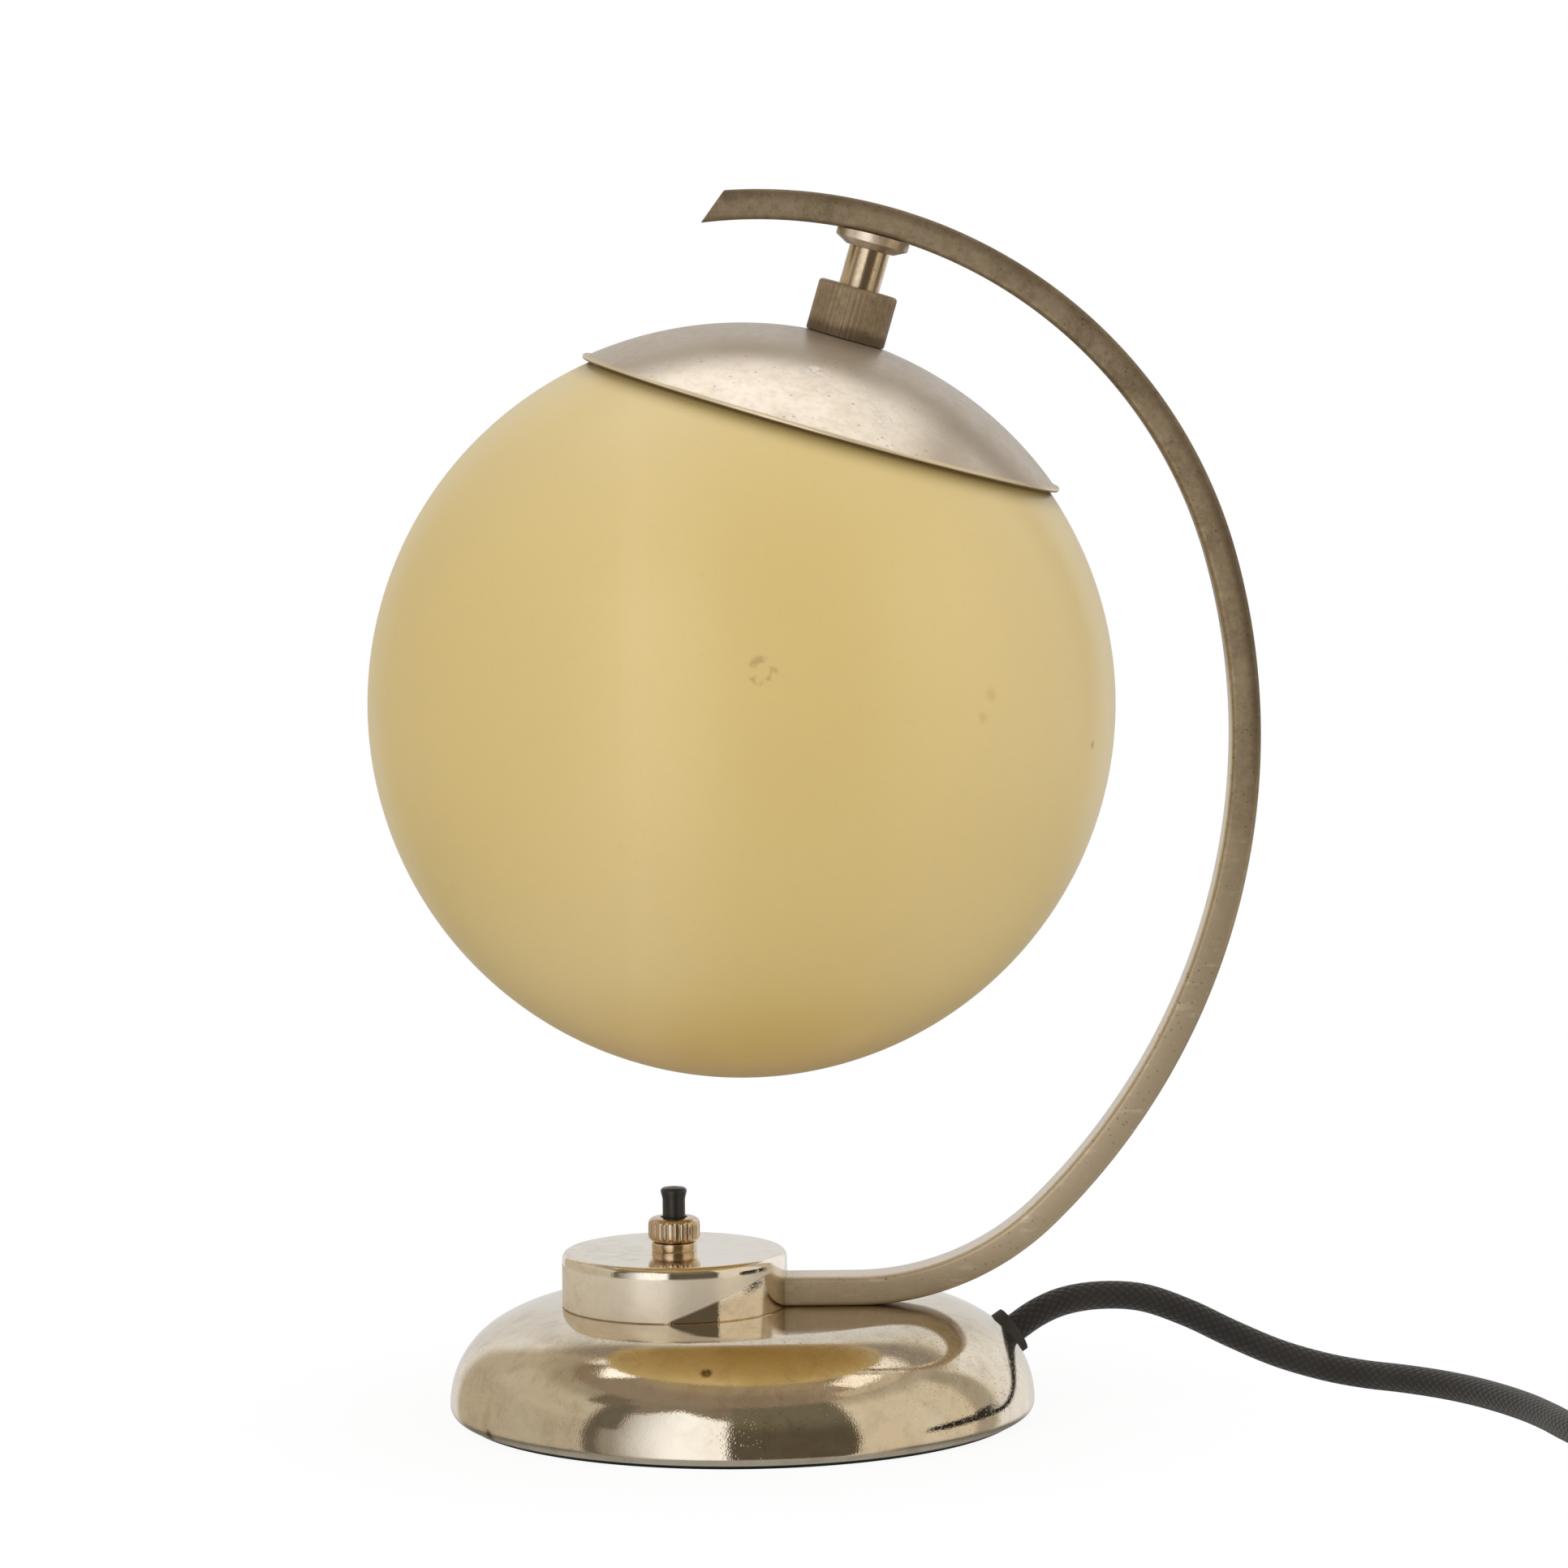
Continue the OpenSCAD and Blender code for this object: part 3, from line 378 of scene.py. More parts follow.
class Nodes:
    """Short calls that add nodes to the tree of a material or the world. Values may be numbers, colours or
    sockets, and "where" is a socket that gives coordinates. Lengths are in metres, unless mm is said."""

    def __init__(self, data, coordinates):
        self.data = data
        data.use_nodes = True
        self.tree = data.node_tree
        self.here = self.tree.nodes.new("ShaderNodeTexCoord").outputs[coordinates]

    def node(self, kind, **values):
        n = self.tree.nodes.new("ShaderNode" + kind)
        for k, v in values.items():
            setattr(n, k, v)
        return n

    def put(self, socket, value):
        if isinstance(value, bpy.types.NodeSocket):
            self.tree.links.new(value, socket)
        else:
            socket.default_value = value

    def calc(self, operation, a, b=0.0, clamp=False):
        n = self.node("Math", operation=operation, use_clamp=clamp)
        self.put(n.inputs[0], a)
        self.put(n.inputs[1], b)
        return n.outputs[0]

    def add(self, a, b, clamp=False):
        return self.calc("ADD", a, b, clamp)

    def sub(self, a, b):
        return self.calc("SUBTRACT", a, b)

    def mul(self, a, b, clamp=False):
        return self.calc("MULTIPLY", a, b, clamp)

    def most(self, a, b, clamp=False):
        return self.calc("MAXIMUM", a, b, clamp)

    def mix(self, share, a, b):
        """The colour a, or b as far as share goes from 0 to 1."""
        n = self.node("Mix", data_type="RGBA")
        self.put(n.inputs["Factor"], share)
        for socket, v in ((n.inputs[6], a), (n.inputs[7], b)):
            self.put(socket, (*v, 1) if isinstance(v, tuple) else v)
        return n.outputs[2]

    def span(self, value, lo, hi, a=0.0, b=1.0):
        """Goes smoothly from a to b as value goes from lo to hi."""
        n = self.node("MapRange", interpolation_type="SMOOTHSTEP")
        for k, v in zip(("Value", "From Min", "From Max", "To Min", "To Max"), (value, lo, hi, a, b)):
            self.put(n.inputs[k], v)
        return n.outputs[0]

    def ramp(self, value, stops, spline=False):
        n = self.node("ValToRGB")
        n.color_ramp.interpolation = "B_SPLINE" if spline else "LINEAR"
        elements = n.color_ramp.elements
        while len(elements) < len(stops):
            elements.new(0.5)
        for element, (at, grey) in zip(elements, stops):
            element.position = at
            element.color = (grey, grey, grey, 1)
        self.put(n.inputs["Fac"], value)
        return n.outputs["Color"]

    def xyz(self, where=None):
        n = self.node("SeparateXYZ")
        self.put(n.inputs[0], where or self.here)
        return n.outputs

    def near(self, point, r0, r1, where=None):
        """1 within r0 of a point, falling to 0 at r1, all in mm."""
        n = self.node("VectorMath", operation="DISTANCE")
        self.put(n.inputs[0], where or self.here)
        n.inputs[1].default_value = tuple(c * MM for c in point)
        return self.span(n.outputs["Value"], r0 * MM, r1 * MM, 1.0, 0.0)

    def noise(self, scale, detail=3, rough=0.5, where=None, stretch=None, distort=0.0):
        n = self.node("TexNoise")
        n.inputs["Scale"].default_value = scale
        n.inputs["Detail"].default_value = detail
        n.inputs["Roughness"].default_value = rough
        n.inputs["Distortion"].default_value = distort
        where = where or self.here
        if stretch:
            mapping = self.node("Mapping")
            mapping.inputs["Scale"].default_value = stretch
            self.put(mapping.inputs["Vector"], where)
            where = mapping.outputs[0]
        self.put(n.inputs["Vector"], where)
        return n.outputs["Fac"]

    def spots(self, scale, size):
        """1 in small round spots, and 0 elsewhere."""
        n = self.node("TexVoronoi")
        n.inputs["Scale"].default_value = scale
        self.put(n.inputs["Vector"], self.here)
        return self.ramp(n.outputs["Distance"], [(0.0, 1), (size * 0.6, 1), (size, 0)])

    def swept(self):
        """On a swept piece, the share of the way round its section and the metres along it."""
        u, v, _ = self.xyz(self.node("UVMap", uv_map="around").outputs[0])
        return u, v

    def bump(self, height, distance, strength=1.0, after=None):
        n = self.node("Bump")
        n.inputs["Distance"].default_value = distance
        n.inputs["Strength"].default_value = strength
        self.put(n.inputs["Height"], height)
        if after:
            self.put(n.inputs["Normal"], after)
        return n.outputs["Normal"]


class Mat(Nodes):
    """A material with a Principled shader."""
    sockets = {"color": "Base Color", "rough": "Roughness", "metal": "Metallic", "normal": "Normal",
               "ior": "IOR", "sheen": "Sheen Weight", "sss": "Subsurface Weight",
               "sss_scale": "Subsurface Scale", "sss_radius": "Subsurface Radius"}

    def __init__(self, name):
        super().__init__(bpy.data.materials.new(name), "Object")

    def set(self, **values):
        shader = self.tree.nodes["Principled BSDF"]
        for k, v in values.items():
            self.put(shader.inputs[self.sockets[k]], v)


def srgb(*rgb):
    """The linear colour of three sRGB values up to 255."""
    return tuple(c / 255 / 12.92 if c / 255 <= 0.04045 else ((c / 255 + 0.055) / 1.055) ** 2.4 for c in rgb)


def scaled(color, factor):
    return tuple(c * factor for c in color)


def on_shade(m):
    """Coordinates from the middle of the ball, with z along the shade's own tilted axis."""
    shift = m.node("VectorMath", operation="SUBTRACT")
    m.put(shift.inputs[0], m.here)
    shift.inputs[1].default_value = tuple(globe_c * MM)
    turn = m.node("VectorRotate", rotation_type="Y_AXIS", invert=True)
    turn.inputs["Angle"].default_value = math.radians(shade_tilt)
    m.put(turn.inputs["Vector"], shift.outputs[0])
    return turn.outputs[0]


def nickel(name, light, warm, pits=1.0, gloss=0.012, worn=None, dull=None, stains=()):
    """Old polished nickel: warm where the plate has worn, hazed in patches, with pits and fine scratches.
    worn(m) is a place with more wear, dull(m) one rubbed dull, and stains are points with radii in mm."""
    m = Mat(name)
    haze = 0.08
    wear = m.ramp(m.noise(38, 5, 0.62), [(0.40, 0.0), (0.66, 1.0)])
    pitted = m.ramp(m.noise(30, 2), [(0.45, 0.0), (0.62, 1.0)])
    if worn:
        place = worn(m)
        wear = m.most(wear, place, True)
        pitted = m.most(pitted, place, True)
    color = m.mix(m.mul(wear, 0.55), m.mix(m.noise(14, 3), light, scaled(light, 0.93)), warm)
    film = m.ramp(m.noise(210, 6, 0.75, distort=0.5), [(0.46, 0.0), (0.66, 1.0)])
    color = m.mix(m.mul(film, m.add(0.14, m.mul(wear, 0.42))), color, (0.40, 0.34, 0.24))
    dots = m.mul(m.add(m.spots(520, 0.17), m.spots(1100, 0.22), True), pitted)
    dots = m.mul(dots, pits, True)
    color = m.mix(m.mul(dots, 0.4), color, (0.26, 0.20, 0.12))
    scratch = m.ramp(m.noise(900, 2, 0.5, stretch=(1, 0.06, 0.06)), [(0.60, 0.0), (0.72, 1.0)])
    rough = m.add(gloss, m.mul(wear, haze * 0.5))
    rough = m.add(rough, m.mul(m.most(dots, m.mul(scratch, 0.25)), haze), True)
    metal = 1.0
    if dull:
        band = dull(m)
        rough = m.add(rough, m.mul(band, m.add(0.30, m.mul(wear, 0.15))), True)
        color = m.mix(m.mul(band, 0.6), color, (0.80, 0.70, 0.54))
        metal = m.sub(1.0, m.mul(band, 0.55))
    for point, r in stains:
        stain = m.mul(m.near(point, 0.4 * r, r), m.span(m.noise(900, 3), 0.3, 0.5))
        color = m.mix(m.mul(stain, 0.85), color, (0.10, 0.06, 0.025))
    swell = m.bump(m.noise(26, 2, 0.4), 0.000072)
    fine = m.bump(m.sub(m.noise(2600, 2), dots), 0.000012, after=swell)
    m.set(color=color, metal=metal, rough=rough, normal=fine)
    return m


def foot_worn(m):
    return m.span(m.xyz()[0], -0.062, -0.038, 1.0, 0.0)


def drum_worn(m):
    return m.span(m.xyz()[0], -0.040, -0.016, 1.0, 0.0)


def drum_band(m):
    """The dull band on the drum's side. Its lower edge climbs to the right."""
    x, _, z = m.xyz()
    climb = 0.39        # of the lower edge, which is 1.8 mm above the foot where x is -11.8 mm
    low = m.add((base_h + 1.8) * MM, m.mul(m.add(x, 0.0118), climb))
    above = m.span(m.sub(z, low), -0.0003, 0.0004)
    return m.mul(above, m.span(z, (base_h + 9.2) * MM, (base_h + 9.9) * MM, 1.0, 0.0))


def patina(name, light, dark, gloss, grain=1.0, metal=0.5, clean=None, own=None):
    """Bare brass gone brown, clouded and speckled. clean(m) is a place that is rubbed bright, and
    own(m, color) adds the painted light and shade that only this piece has."""
    m = Mat(name)
    speck = m.ramp(m.noise(700, 4, 0.7), [(0.36, 0.0), (0.66, 1.0)])
    cloud = m.ramp(m.noise(60, 4, 0.6), [(0.34, 0.0), (0.68, 1.0)])
    brown = m.add(m.mul(speck, 0.45), m.mul(cloud, 0.55))
    if clean:
        bright = clean(m)
        brown = m.mul(brown, m.sub(1.0, bright), True)
    color = m.mix(brown, light, dark)
    if clean:
        color = m.mix(m.mul(bright, 0.75), color, (0.56, 0.45, 0.31))
        scratch = m.ramp(m.noise(800, 3, 0.6, stretch=(0.15, 1, 0.6)), [(0.56, 0.0), (0.68, 1.0)])
        color = m.mix(m.mul(scratch, m.mul(bright, 0.45)), color, (0.78, 0.68, 0.52))
    if own:
        color = own(m, color)
    dots = m.mul(m.spots(650, 0.2), cloud)
    color = m.mix(m.mul(dots, 0.6), color, (0.04, 0.028, 0.016))
    rough = m.add(gloss, m.mul(brown, 0.16))
    fine = m.bump(m.add(m.noise(600, 3), m.mul(cloud, 0.6)), 0.00002 * grain)
    m.set(color=color, metal=metal, rough=rough, normal=fine)
    return m


def low_arm(m):
    """The lower bend is cleaner than the crook, and a little cleaner than the flat start."""
    z = m.xyz()[2]
    return m.mul(m.span(z, 0.035, 0.16, 1.0, 0.0), m.span(z, 0.025, 0.042, 0.5, 1.0))


def arm_painted_reflections(m, color):
    """Painted reflections on the arm: a dark outer edge half way up, and a pale inside of the bends
    up to there. Round the section, u is up to 0.458 on the outside, to 0.5 on one side,
    to 0.958 on the inside and to 1 on the other side."""
    u, _ = m.swept()
    z = m.xyz()[2]
    # painted reflection: a dark band along the outer edge, blotched with noise
    outer = m.most(m.span(u, 0.457, 0.476, 1.0, 0.0), m.span(u, 0.982, 1.0))
    reach = m.mul(m.span(z, 0.122, 0.155), m.span(z, 0.185, 0.215, 1.0, 0.65))
    blotch = m.mul(m.add(0.45, m.mul(m.noise(45, 4, 0.6), 0.5)), reach)
    color = m.mix(m.mul(outer, blotch), color, (0.10, 0.067, 0.036))
    # painted reflection: a pale band on the inside of the lower bends
    inner = m.mul(m.span(u, 0.58, 0.66), m.span(u, 0.798, 0.878, 1.0, 0.0))
    return m.mix(m.mul(inner, m.span(z, 0.14, 0.18, 0.75, 0.0)), color, (0.92, 0.87, 0.78))


def flange_painted_highlight(m, color):
    # painted highlight: a bright patch on the front of the flange
    return m.mix(m.near((27.6, -8.0, 252.6), 1.8, 6.0), color, (0.86, 0.74, 0.58))


def nut_painted_shade(m, color):
    """Painted shade on the lowest part of the nut, where it stands on the cap."""
    z = m.add(m.xyz(on_shade(m))[2], m.mul(m.noise(150, 3), 0.0015))
    shade_near_cap = m.span(z, (nut_z + 2.2) * MM, (nut_z + 4.6) * MM, 1.0, 0.0)
    return m.mix(m.mul(shade_near_cap, 0.7), color, (0.075, 0.047, 0.026))


def cap_metal():
    """Spun cap: dulled nickel with painted shade behind and on the right, darker round the neck, scuffs
    painted bright as highlights, and a painted highlight over painted shade on the rim.
    """
    m = Mat("cap_nickel")
    here = on_shade(m)
    x, y, z = m.xyz(here)
    cloud = m.ramp(m.noise(34, 5, 0.6), [(0.35, 0.0), (0.7, 1.0)])
    speck = m.ramp(m.noise(420, 5, 0.75), [(0.45, 0.0), (0.62, 1.0)])
    color = m.mix(m.mul(cloud, 0.7), (1.0, 0.92, 0.80), (0.86, 0.76, 0.62))
    color = m.mix(m.mul(speck, 0.16), color, (0.42, 0.34, 0.24))
    # painted shade: darker towards the back of the cap, along its outline
    behind = m.span(m.add(y, m.mul(m.noise(40, 4), 0.008)), -0.035, -0.022)
    color = m.mix(behind, color, (0.50, 0.42, 0.325))
    # painted shade: a darker zone on the right of the cap
    right = m.span(m.add(x, m.mul(m.noise(50, 4), 0.010)), 0.019, 0.032)
    color = m.mix(m.mul(right, 0.75), color, (0.47, 0.385, 0.29))
    neck = m.span(z, (cap_r - 3.2) * MM, (cap_r - 0.5) * MM)
    color = m.mix(m.mul(neck, 0.55), color, (0.36, 0.27, 0.20))
    dots = m.mul(m.spots(330, 0.15), cloud)
    color = m.mix(m.mul(dots, 0.5), color, (0.2, 0.14, 0.08))
    # scuffs that dent the surface, painted near white as highlights where the cap is brightest
    scuffs_and_highlights = 0.0
    for point, r in (((-4.5, -34.5, 73.8), 3.2), ((10.8, -43.0, 68.4), 4.6)):
        broken = m.ramp(m.noise(500, 4, 0.7, where=here), [(0.47, 0.0), (0.60, 1.0)])
        scuffs_and_highlights = m.add(scuffs_and_highlights, m.mul(m.near(point, 0.3 * r, r, here), broken))
    color = m.mix(m.mul(scuffs_and_highlights, 0.8), color, (1.0, 0.96, 0.88))
    # painted highlight on the upper half of the rim's bead, over painted shade on its underside
    rim_highlight = m.mul(m.span(z, (rim_z - 0.25) * MM, (rim_z - 0.1) * MM),
                 m.span(z, rim_z * MM, (rim_z + 0.7) * MM, 1.0, 0.0))
    color = m.mix(m.mul(rim_highlight, 0.75), color, (0.86, 0.70, 0.42))
    rim_shade = m.span(z, (rim_z - 0.35) * MM, (rim_z - 0.15) * MM, 1.0, 0.0)
    color = m.mix(m.mul(rim_shade, 0.9), color, (0.15, 0.10, 0.05))
    rough = m.add(0.27, m.add(m.mul(cloud, 0.1), m.mul(speck, 0.08)))
    turned = m.noise(700, 2, 0.5, where=here, stretch=(0.03, 0.03, 1))
    swell = m.bump(m.noise(30, 2), 0.0010)
    relief = m.add(m.noise(700, 4, 0.6), m.sub(turned, m.mul(scuffs_and_highlights, 1.5)))
    m.set(color=color, metal=0.6, rough=rough, normal=m.bump(relief, 0.00005, after=swell))
    return m


def globe_glass():
    """Opal glass of a warm yellow-beige, with painted highlights, reflections and shade, a satin surface
    and a few faint marks.
    """
    m = Mat("globe_glass")
    x, _, z = m.xyz()
    # painted highlight and painted reflection in upright bands, which cloud holds with a faint random tone
    zones = [(0.0, 0.1), (0.36, 0.9), (0.42, 0.9), (0.58, 0.25), (0.82, 0.25), (1.0, 0.9)]
    reflection_bands = m.ramp(m.span(x, -0.088, 0.072), zones, spline=True)
    cloud = m.add(m.mul(m.noise(9, 2, 0.4), 0.3), m.mul(reflection_bands, 0.75))
    color = m.mix(cloud, srgb(204, 179, 111), srgb(221, 199, 143))
    # painted shade: deeper and darker towards the bottom of the ball
    low = m.span(z, 0.07, 0.105, 1.0, 0.0)
    color = m.mix(m.mul(low, 0.6), color, srgb(205, 166, 92))
    # painted light: paler towards the top of the ball
    high = m.span(z, 0.185, 0.235)
    color = m.mix(m.mul(high, 0.45), color, srgb(217, 198, 150))
    fine = m.ramp(m.noise(900, 2), [(0.62, 0.0), (0.75, 1.0)])
    color = m.mix(m.mul(fine, 0.05), color, srgb(150, 120, 66))
    ring_at = (6.2, -78.7, 167.3)       # a broken ring of a mark
    mark = m.sub(m.near(ring_at, 2.6, 3.5), m.near(ring_at, 1.2, 2.0))
    mark = m.mul(mark, m.ramp(m.noise(330, 2, 0.5), [(0.44, 0.0), (0.56, 1.0)]))
    color = m.mix(m.mul(mark, 0.40), color, srgb(140, 112, 66))
    for point, r, depth in (((75.0, -30.7, 147.2), 1.3, 0.55), ((53.0, -61.0, 160.5), 2.0, 0.16),
                            ((51.0, -62.5, 156.0), 1.8, 0.14)):
        color = m.mix(m.mul(m.near(point, 0.2 * r, r), depth), color, srgb(120, 92, 52))
    # painted shade: a darker band on the glass under the cap's rim
    height = m.xyz(on_shade(m))[2]
    dust = m.span(height, (rim_z - 5.0) * MM, (rim_z - 0.8) * MM)       # painted shade under the cap's rim
    color = m.mix(m.mul(dust, 0.6), color, srgb(128, 104, 52))
    rough = m.add(0.31, m.mul(m.noise(60, 3), 0.08))
    m.set(color=color, rough=rough, normal=m.bump(m.noise(22, 2), 0.0005), ior=1.5, sss=0.35, sss_scale=0.004,
          sss_radius=(1.0, 0.7, 0.35))
    return m


def cord_cover():
    """Close cotton braid over rubber, with threads that cross both ways along the cord, and some dust."""
    m = Mat("cord_braid")
    threads_round = 12.0
    threads_per_m = 470.0
    u, v = m.swept()
    turn = m.mul(u, threads_round)
    along = m.mul(v, threads_per_m)
    waves = []
    for way in (1.0, -1.0):
        phase = m.mul(m.add(along, m.mul(turn, way)), math.pi)
        waves.append(m.calc("ABSOLUTE", m.calc("SINE", phase)))
    weave = m.mul(waves[0], waves[1])
    dust = m.ramp(m.noise(45, 4, 0.65), [(0.38, 0.0), (0.7, 1.0)])
    color = m.mix(weave, (0.012, 0.010, 0.009), (0.025, 0.022, 0.019))
    color = m.mix(m.mul(dust, 0.22), color, (0.060, 0.052, 0.043))
    fuzz = m.bump(m.noise(3000, 2), 0.00005)
    m.set(color=color, rough=0.82, sheen=0.25, normal=m.bump(weave, 0.0002, 0.8, fuzz))
    return m


def black_rubber(name, tint, rough, grain=900.0, distance=0.00008):
    m = Mat(name)
    dust = m.ramp(m.noise(55, 4, 0.6), [(0.42, 0.0), (0.72, 1.0)])
    color = m.mix(m.mul(dust, 0.4), tint, scaled(tint, 2))
    m.set(color=color, rough=m.add(rough, m.mul(dust, 0.18)), normal=m.bump(m.noise(grain, 3), distance))
    return m


def plain_metal(name, color, rough, scale=800.0):
    m = Mat(name)
    grain = m.noise(scale, 4, 0.65)
    shade = m.mix(m.ramp(m.noise(90, 4), [(0.35, 0.0), (0.7, 1.0)]), color, scaled(color, 0.72))
    m.set(color=shade, metal=1.0, rough=m.add(rough, m.mul(grain, 0.15)), normal=m.bump(grain, 0.00005))
    return m


def plain_body(name, color, rough, scale=600.0, distance=0.00006, **more):
    m = Mat(name)
    shade = m.mix(m.ramp(m.noise(120, 4), [(0.35, 0.0), (0.7, 1.0)]), color, scaled(color, 0.8))
    m.set(color=shade, rough=rough, normal=m.bump(m.noise(scale, 4, 0.6), distance), **more)
    return m


M = {
    "foot": nickel("foot_nickel", (0.80, 0.72, 0.585), (0.66, 0.52, 0.33), worn=foot_worn,
                   stains=(((-7.1, -54.2, 19.1), 1.7), ((-53.6, -33.9, 2.0), 2.0))),
    "drum": nickel("drum_nickel", (0.90, 0.83, 0.71), (0.83, 0.71, 0.54), worn=drum_worn, dull=drum_band),
    "collar": nickel("collar_nickel", (0.74, 0.60, 0.44), (0.60, 0.42, 0.24), pits=0.6, gloss=0.16),
    "arm": patina("arm_patina", (0.36, 0.275, 0.17), (0.155, 0.11, 0.06), 0.34, clean=low_arm,
                  own=arm_painted_reflections),
    "flange": patina("flange_brass", (0.52, 0.40, 0.26), (0.30, 0.215, 0.125), 0.22, metal=0.6,
                     own=flange_painted_highlight),
    "neck": patina("neck_brass", (0.74, 0.60, 0.42), (0.52, 0.40, 0.26), 0.14, grain=0.3, metal=1.0),
    "nut": patina("nut_brass", (0.38, 0.275, 0.165), (0.20, 0.142, 0.08), 0.36, own=nut_painted_shade),
    "cap": cap_metal(),
    "globe": globe_glass(),
    "cord": cord_cover(),
    "rubber": black_rubber("grommet_rubber", (0.030, 0.027, 0.023), 0.6),
    "plug": black_rubber("plug_rubber", (0.028, 0.027, 0.026), 0.42, 1500.0, 0.00005),
    "tie": black_rubber("tie_rubber", (0.055, 0.055, 0.06), 0.6),
    "button": black_rubber("button_bakelite", (0.020, 0.017, 0.015), 0.3, 500.0, 0.00003),
    "bakelite": black_rubber("bakelite_brown", (0.045, 0.022, 0.012), 0.28, 400.0, 0.00003),
    "iron": plain_metal("cast_iron_grey", (0.13, 0.125, 0.12), 0.55, 350.0),
    "steel": plain_metal("zinc_steel", (0.56, 0.56, 0.54), 0.3),
    "brass": plain_metal("plain_brass", (0.72, 0.53, 0.26), 0.25),
    "pin": plain_metal("pin_nickel", (0.72, 0.70, 0.66), 0.2),
    "felt": plain_body("green_felt", (0.014, 0.026, 0.018), 0.95, 2500.0, 0.0003, sheen=0.4),
    "porcelain": plain_body("porcelain_white", (0.78, 0.75, 0.68), 0.25),
    "bulb": plain_body("bulb_frosted", (0.85, 0.84, 0.80), 0.5, 900.0, 0.00003),
    "wire_brown": plain_body("wire_cotton", (0.16, 0.09, 0.05), 0.85, 2600.0, 0.0001),
}
cord.data.materials.append(M["cord"].data)


def dress(obj, mat, slot, *replaced, body="root"):
    obj.data.materials.clear()
    obj.data.materials.append(M[mat].data)
    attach(obj, body)
    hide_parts(*replaced)


# Foot
shoulder_w = base_r - base_top_r
shoulder_h = base_h - belly_z
top_arc_r = (((shoulder_w - shoulder_r) ** 2 + shoulder_h ** 2 - shoulder_r ** 2)
             / (2 * (shoulder_h - shoulder_r)))
low_c = (base_r - shoulder_r, belly_z)
top_c = (base_top_r, base_h - top_arc_r)
join_a = math.degrees(math.atan2(low_c[1] - top_c[1], low_c[0] - top_c[0]))
lip_r = base_r - tuck_r
under = base_h - base_wall


def foot_side(offset, n):
    """The foot's outline from its flat top to its lip, with an offset outwards."""
    return (arc(*top_c, top_arc_r + offset, 90, join_a, n)
            + arc(*low_c, shoulder_r + offset, join_a, 0, n)[1:]
            + arc(lip_r, belly_z, tuck_r + offset, 0, -90, max(3, n // 3))[1:])


foot_line = [(r, base_h) for r in (0, 4, 9, 14, 20, 26, 32, 36)] + foot_side(0, 36)
foot_line += [(lip_r, belly_z - tuck_r + base_wall)] + foot_side(-base_wall, 10)[-2::-1] + [(0, under)]
foot = lathe("foot_shell", foot_line, ROUND)
holes = [(switch_x, switch_r + loose), (arm_screw_x[0], arm_screw_hole_r), (arm_screw_x[1], arm_screw_hole_r),
         (wire_hole_x, wire_hole_r)]
outwards = exit_dir.to_track_quat("Z", "Y").to_matrix().to_4x4()
cut(foot, *[rod(r, under - 1, base_h + 1, Matrix.Translation((x, 0, 0))) for x, r in holes],
    rod(grommet_hole_r, -6, 4, Matrix.Translation(exit_p) @ outwards))
dress(foot, "foot", "polished_nickel", "base_shell")

# Drum over the switch, with a slot for the arm
drum_in_r = drum_r - drum_wall
drum_in_h = drum_h - drum_wall
drum_line = [(bush_r + slip, drum_h), (9, drum_h), (15, drum_h), (20, drum_h)]
drum_line += reversed(rounded(drum_r, drum_h, drum_edge_r, 10))
drum_line += [(drum_r, 7), (drum_r, 3.5), (drum_r, 0.25), (drum_r - 0.25, 0), (drum_in_r, 0)]
drum_line += rounded(drum_in_r, drum_in_h, 0.7, 4) + [(bush_r + slip, drum_in_h)]
drum = lathe("switch_cover", drum_line, ROUND, Matrix.Translation((switch_x, 0, base_h)), closed=True)
slot_half = arm_w / 2 + gap
cut(drum, block((0, drum_r), (-slot_half, slot_half), (base_h - 1, base_h + arm_t + gap)))
dress(drum, "drum", "polished_nickel", "switch_drum")

# Spun cap, whose sheet ends a little above the middle of its rolled rim
rim_a = math.degrees(math.asin(rim_z / cap_r))
hole_a = math.degrees(math.acos((neck_r + gap) / cap_r))
cap_line = arc(0, 0, cap_r, hole_a, rim_a + 0.35, 46)
cap_line += arc(cap_rim_r, rim_z, cap_bead_r, 60, -180, 8)
cap_line += reversed(arc(0, 0, cap_r - cap_wall, hole_a, rim_a + 0.6, 30))
cap = lathe("shade_cover", cap_line, ROUND, SHADE, closed=True)
dress(cap, "cap", "satin_nickel", "shade_cap")

# Glass ball, whose two faces end inside the bead round its mouth
globe_in_r = globe_r - globe_wall
bead_z = math.sqrt((globe_r - globe_wall / 2) ** 2 - mouth_r ** 2)
edge_a = math.degrees(math.acos((mouth_r + globe_bead_r * 0.8) / globe_r))
in_edge_a = math.degrees(math.acos((mouth_r + globe_bead_r * 0.4) / globe_in_r))
globe_line = [(0, -globe_r)] + arc(0, 0, globe_r, -89, edge_a, 110)
globe_line += arc(mouth_r, bead_z, globe_bead_r, 20, 200, 10)
globe_line += arc(0, 0, globe_in_r, in_edge_a, -88, 60) + [(0, -globe_in_r)]
globe = lathe("glass_ball", globe_line, ROUND, SHADE)
dress(globe, "globe", "opal_glass", "glass_globe")


def fluted(count, depth, outer_r, width):
    """Radius with count round grooves, only where the outline is out at outer_r. width is their share."""
    def at(r, a):
        if r < outer_r - 0.12:
            return r
        p = (a * count / 360) % 1
        d = min(p, 1 - p) / width * 2
        return r - (depth * math.sqrt(1 - d * d) if d < 1 else 0)
    return at


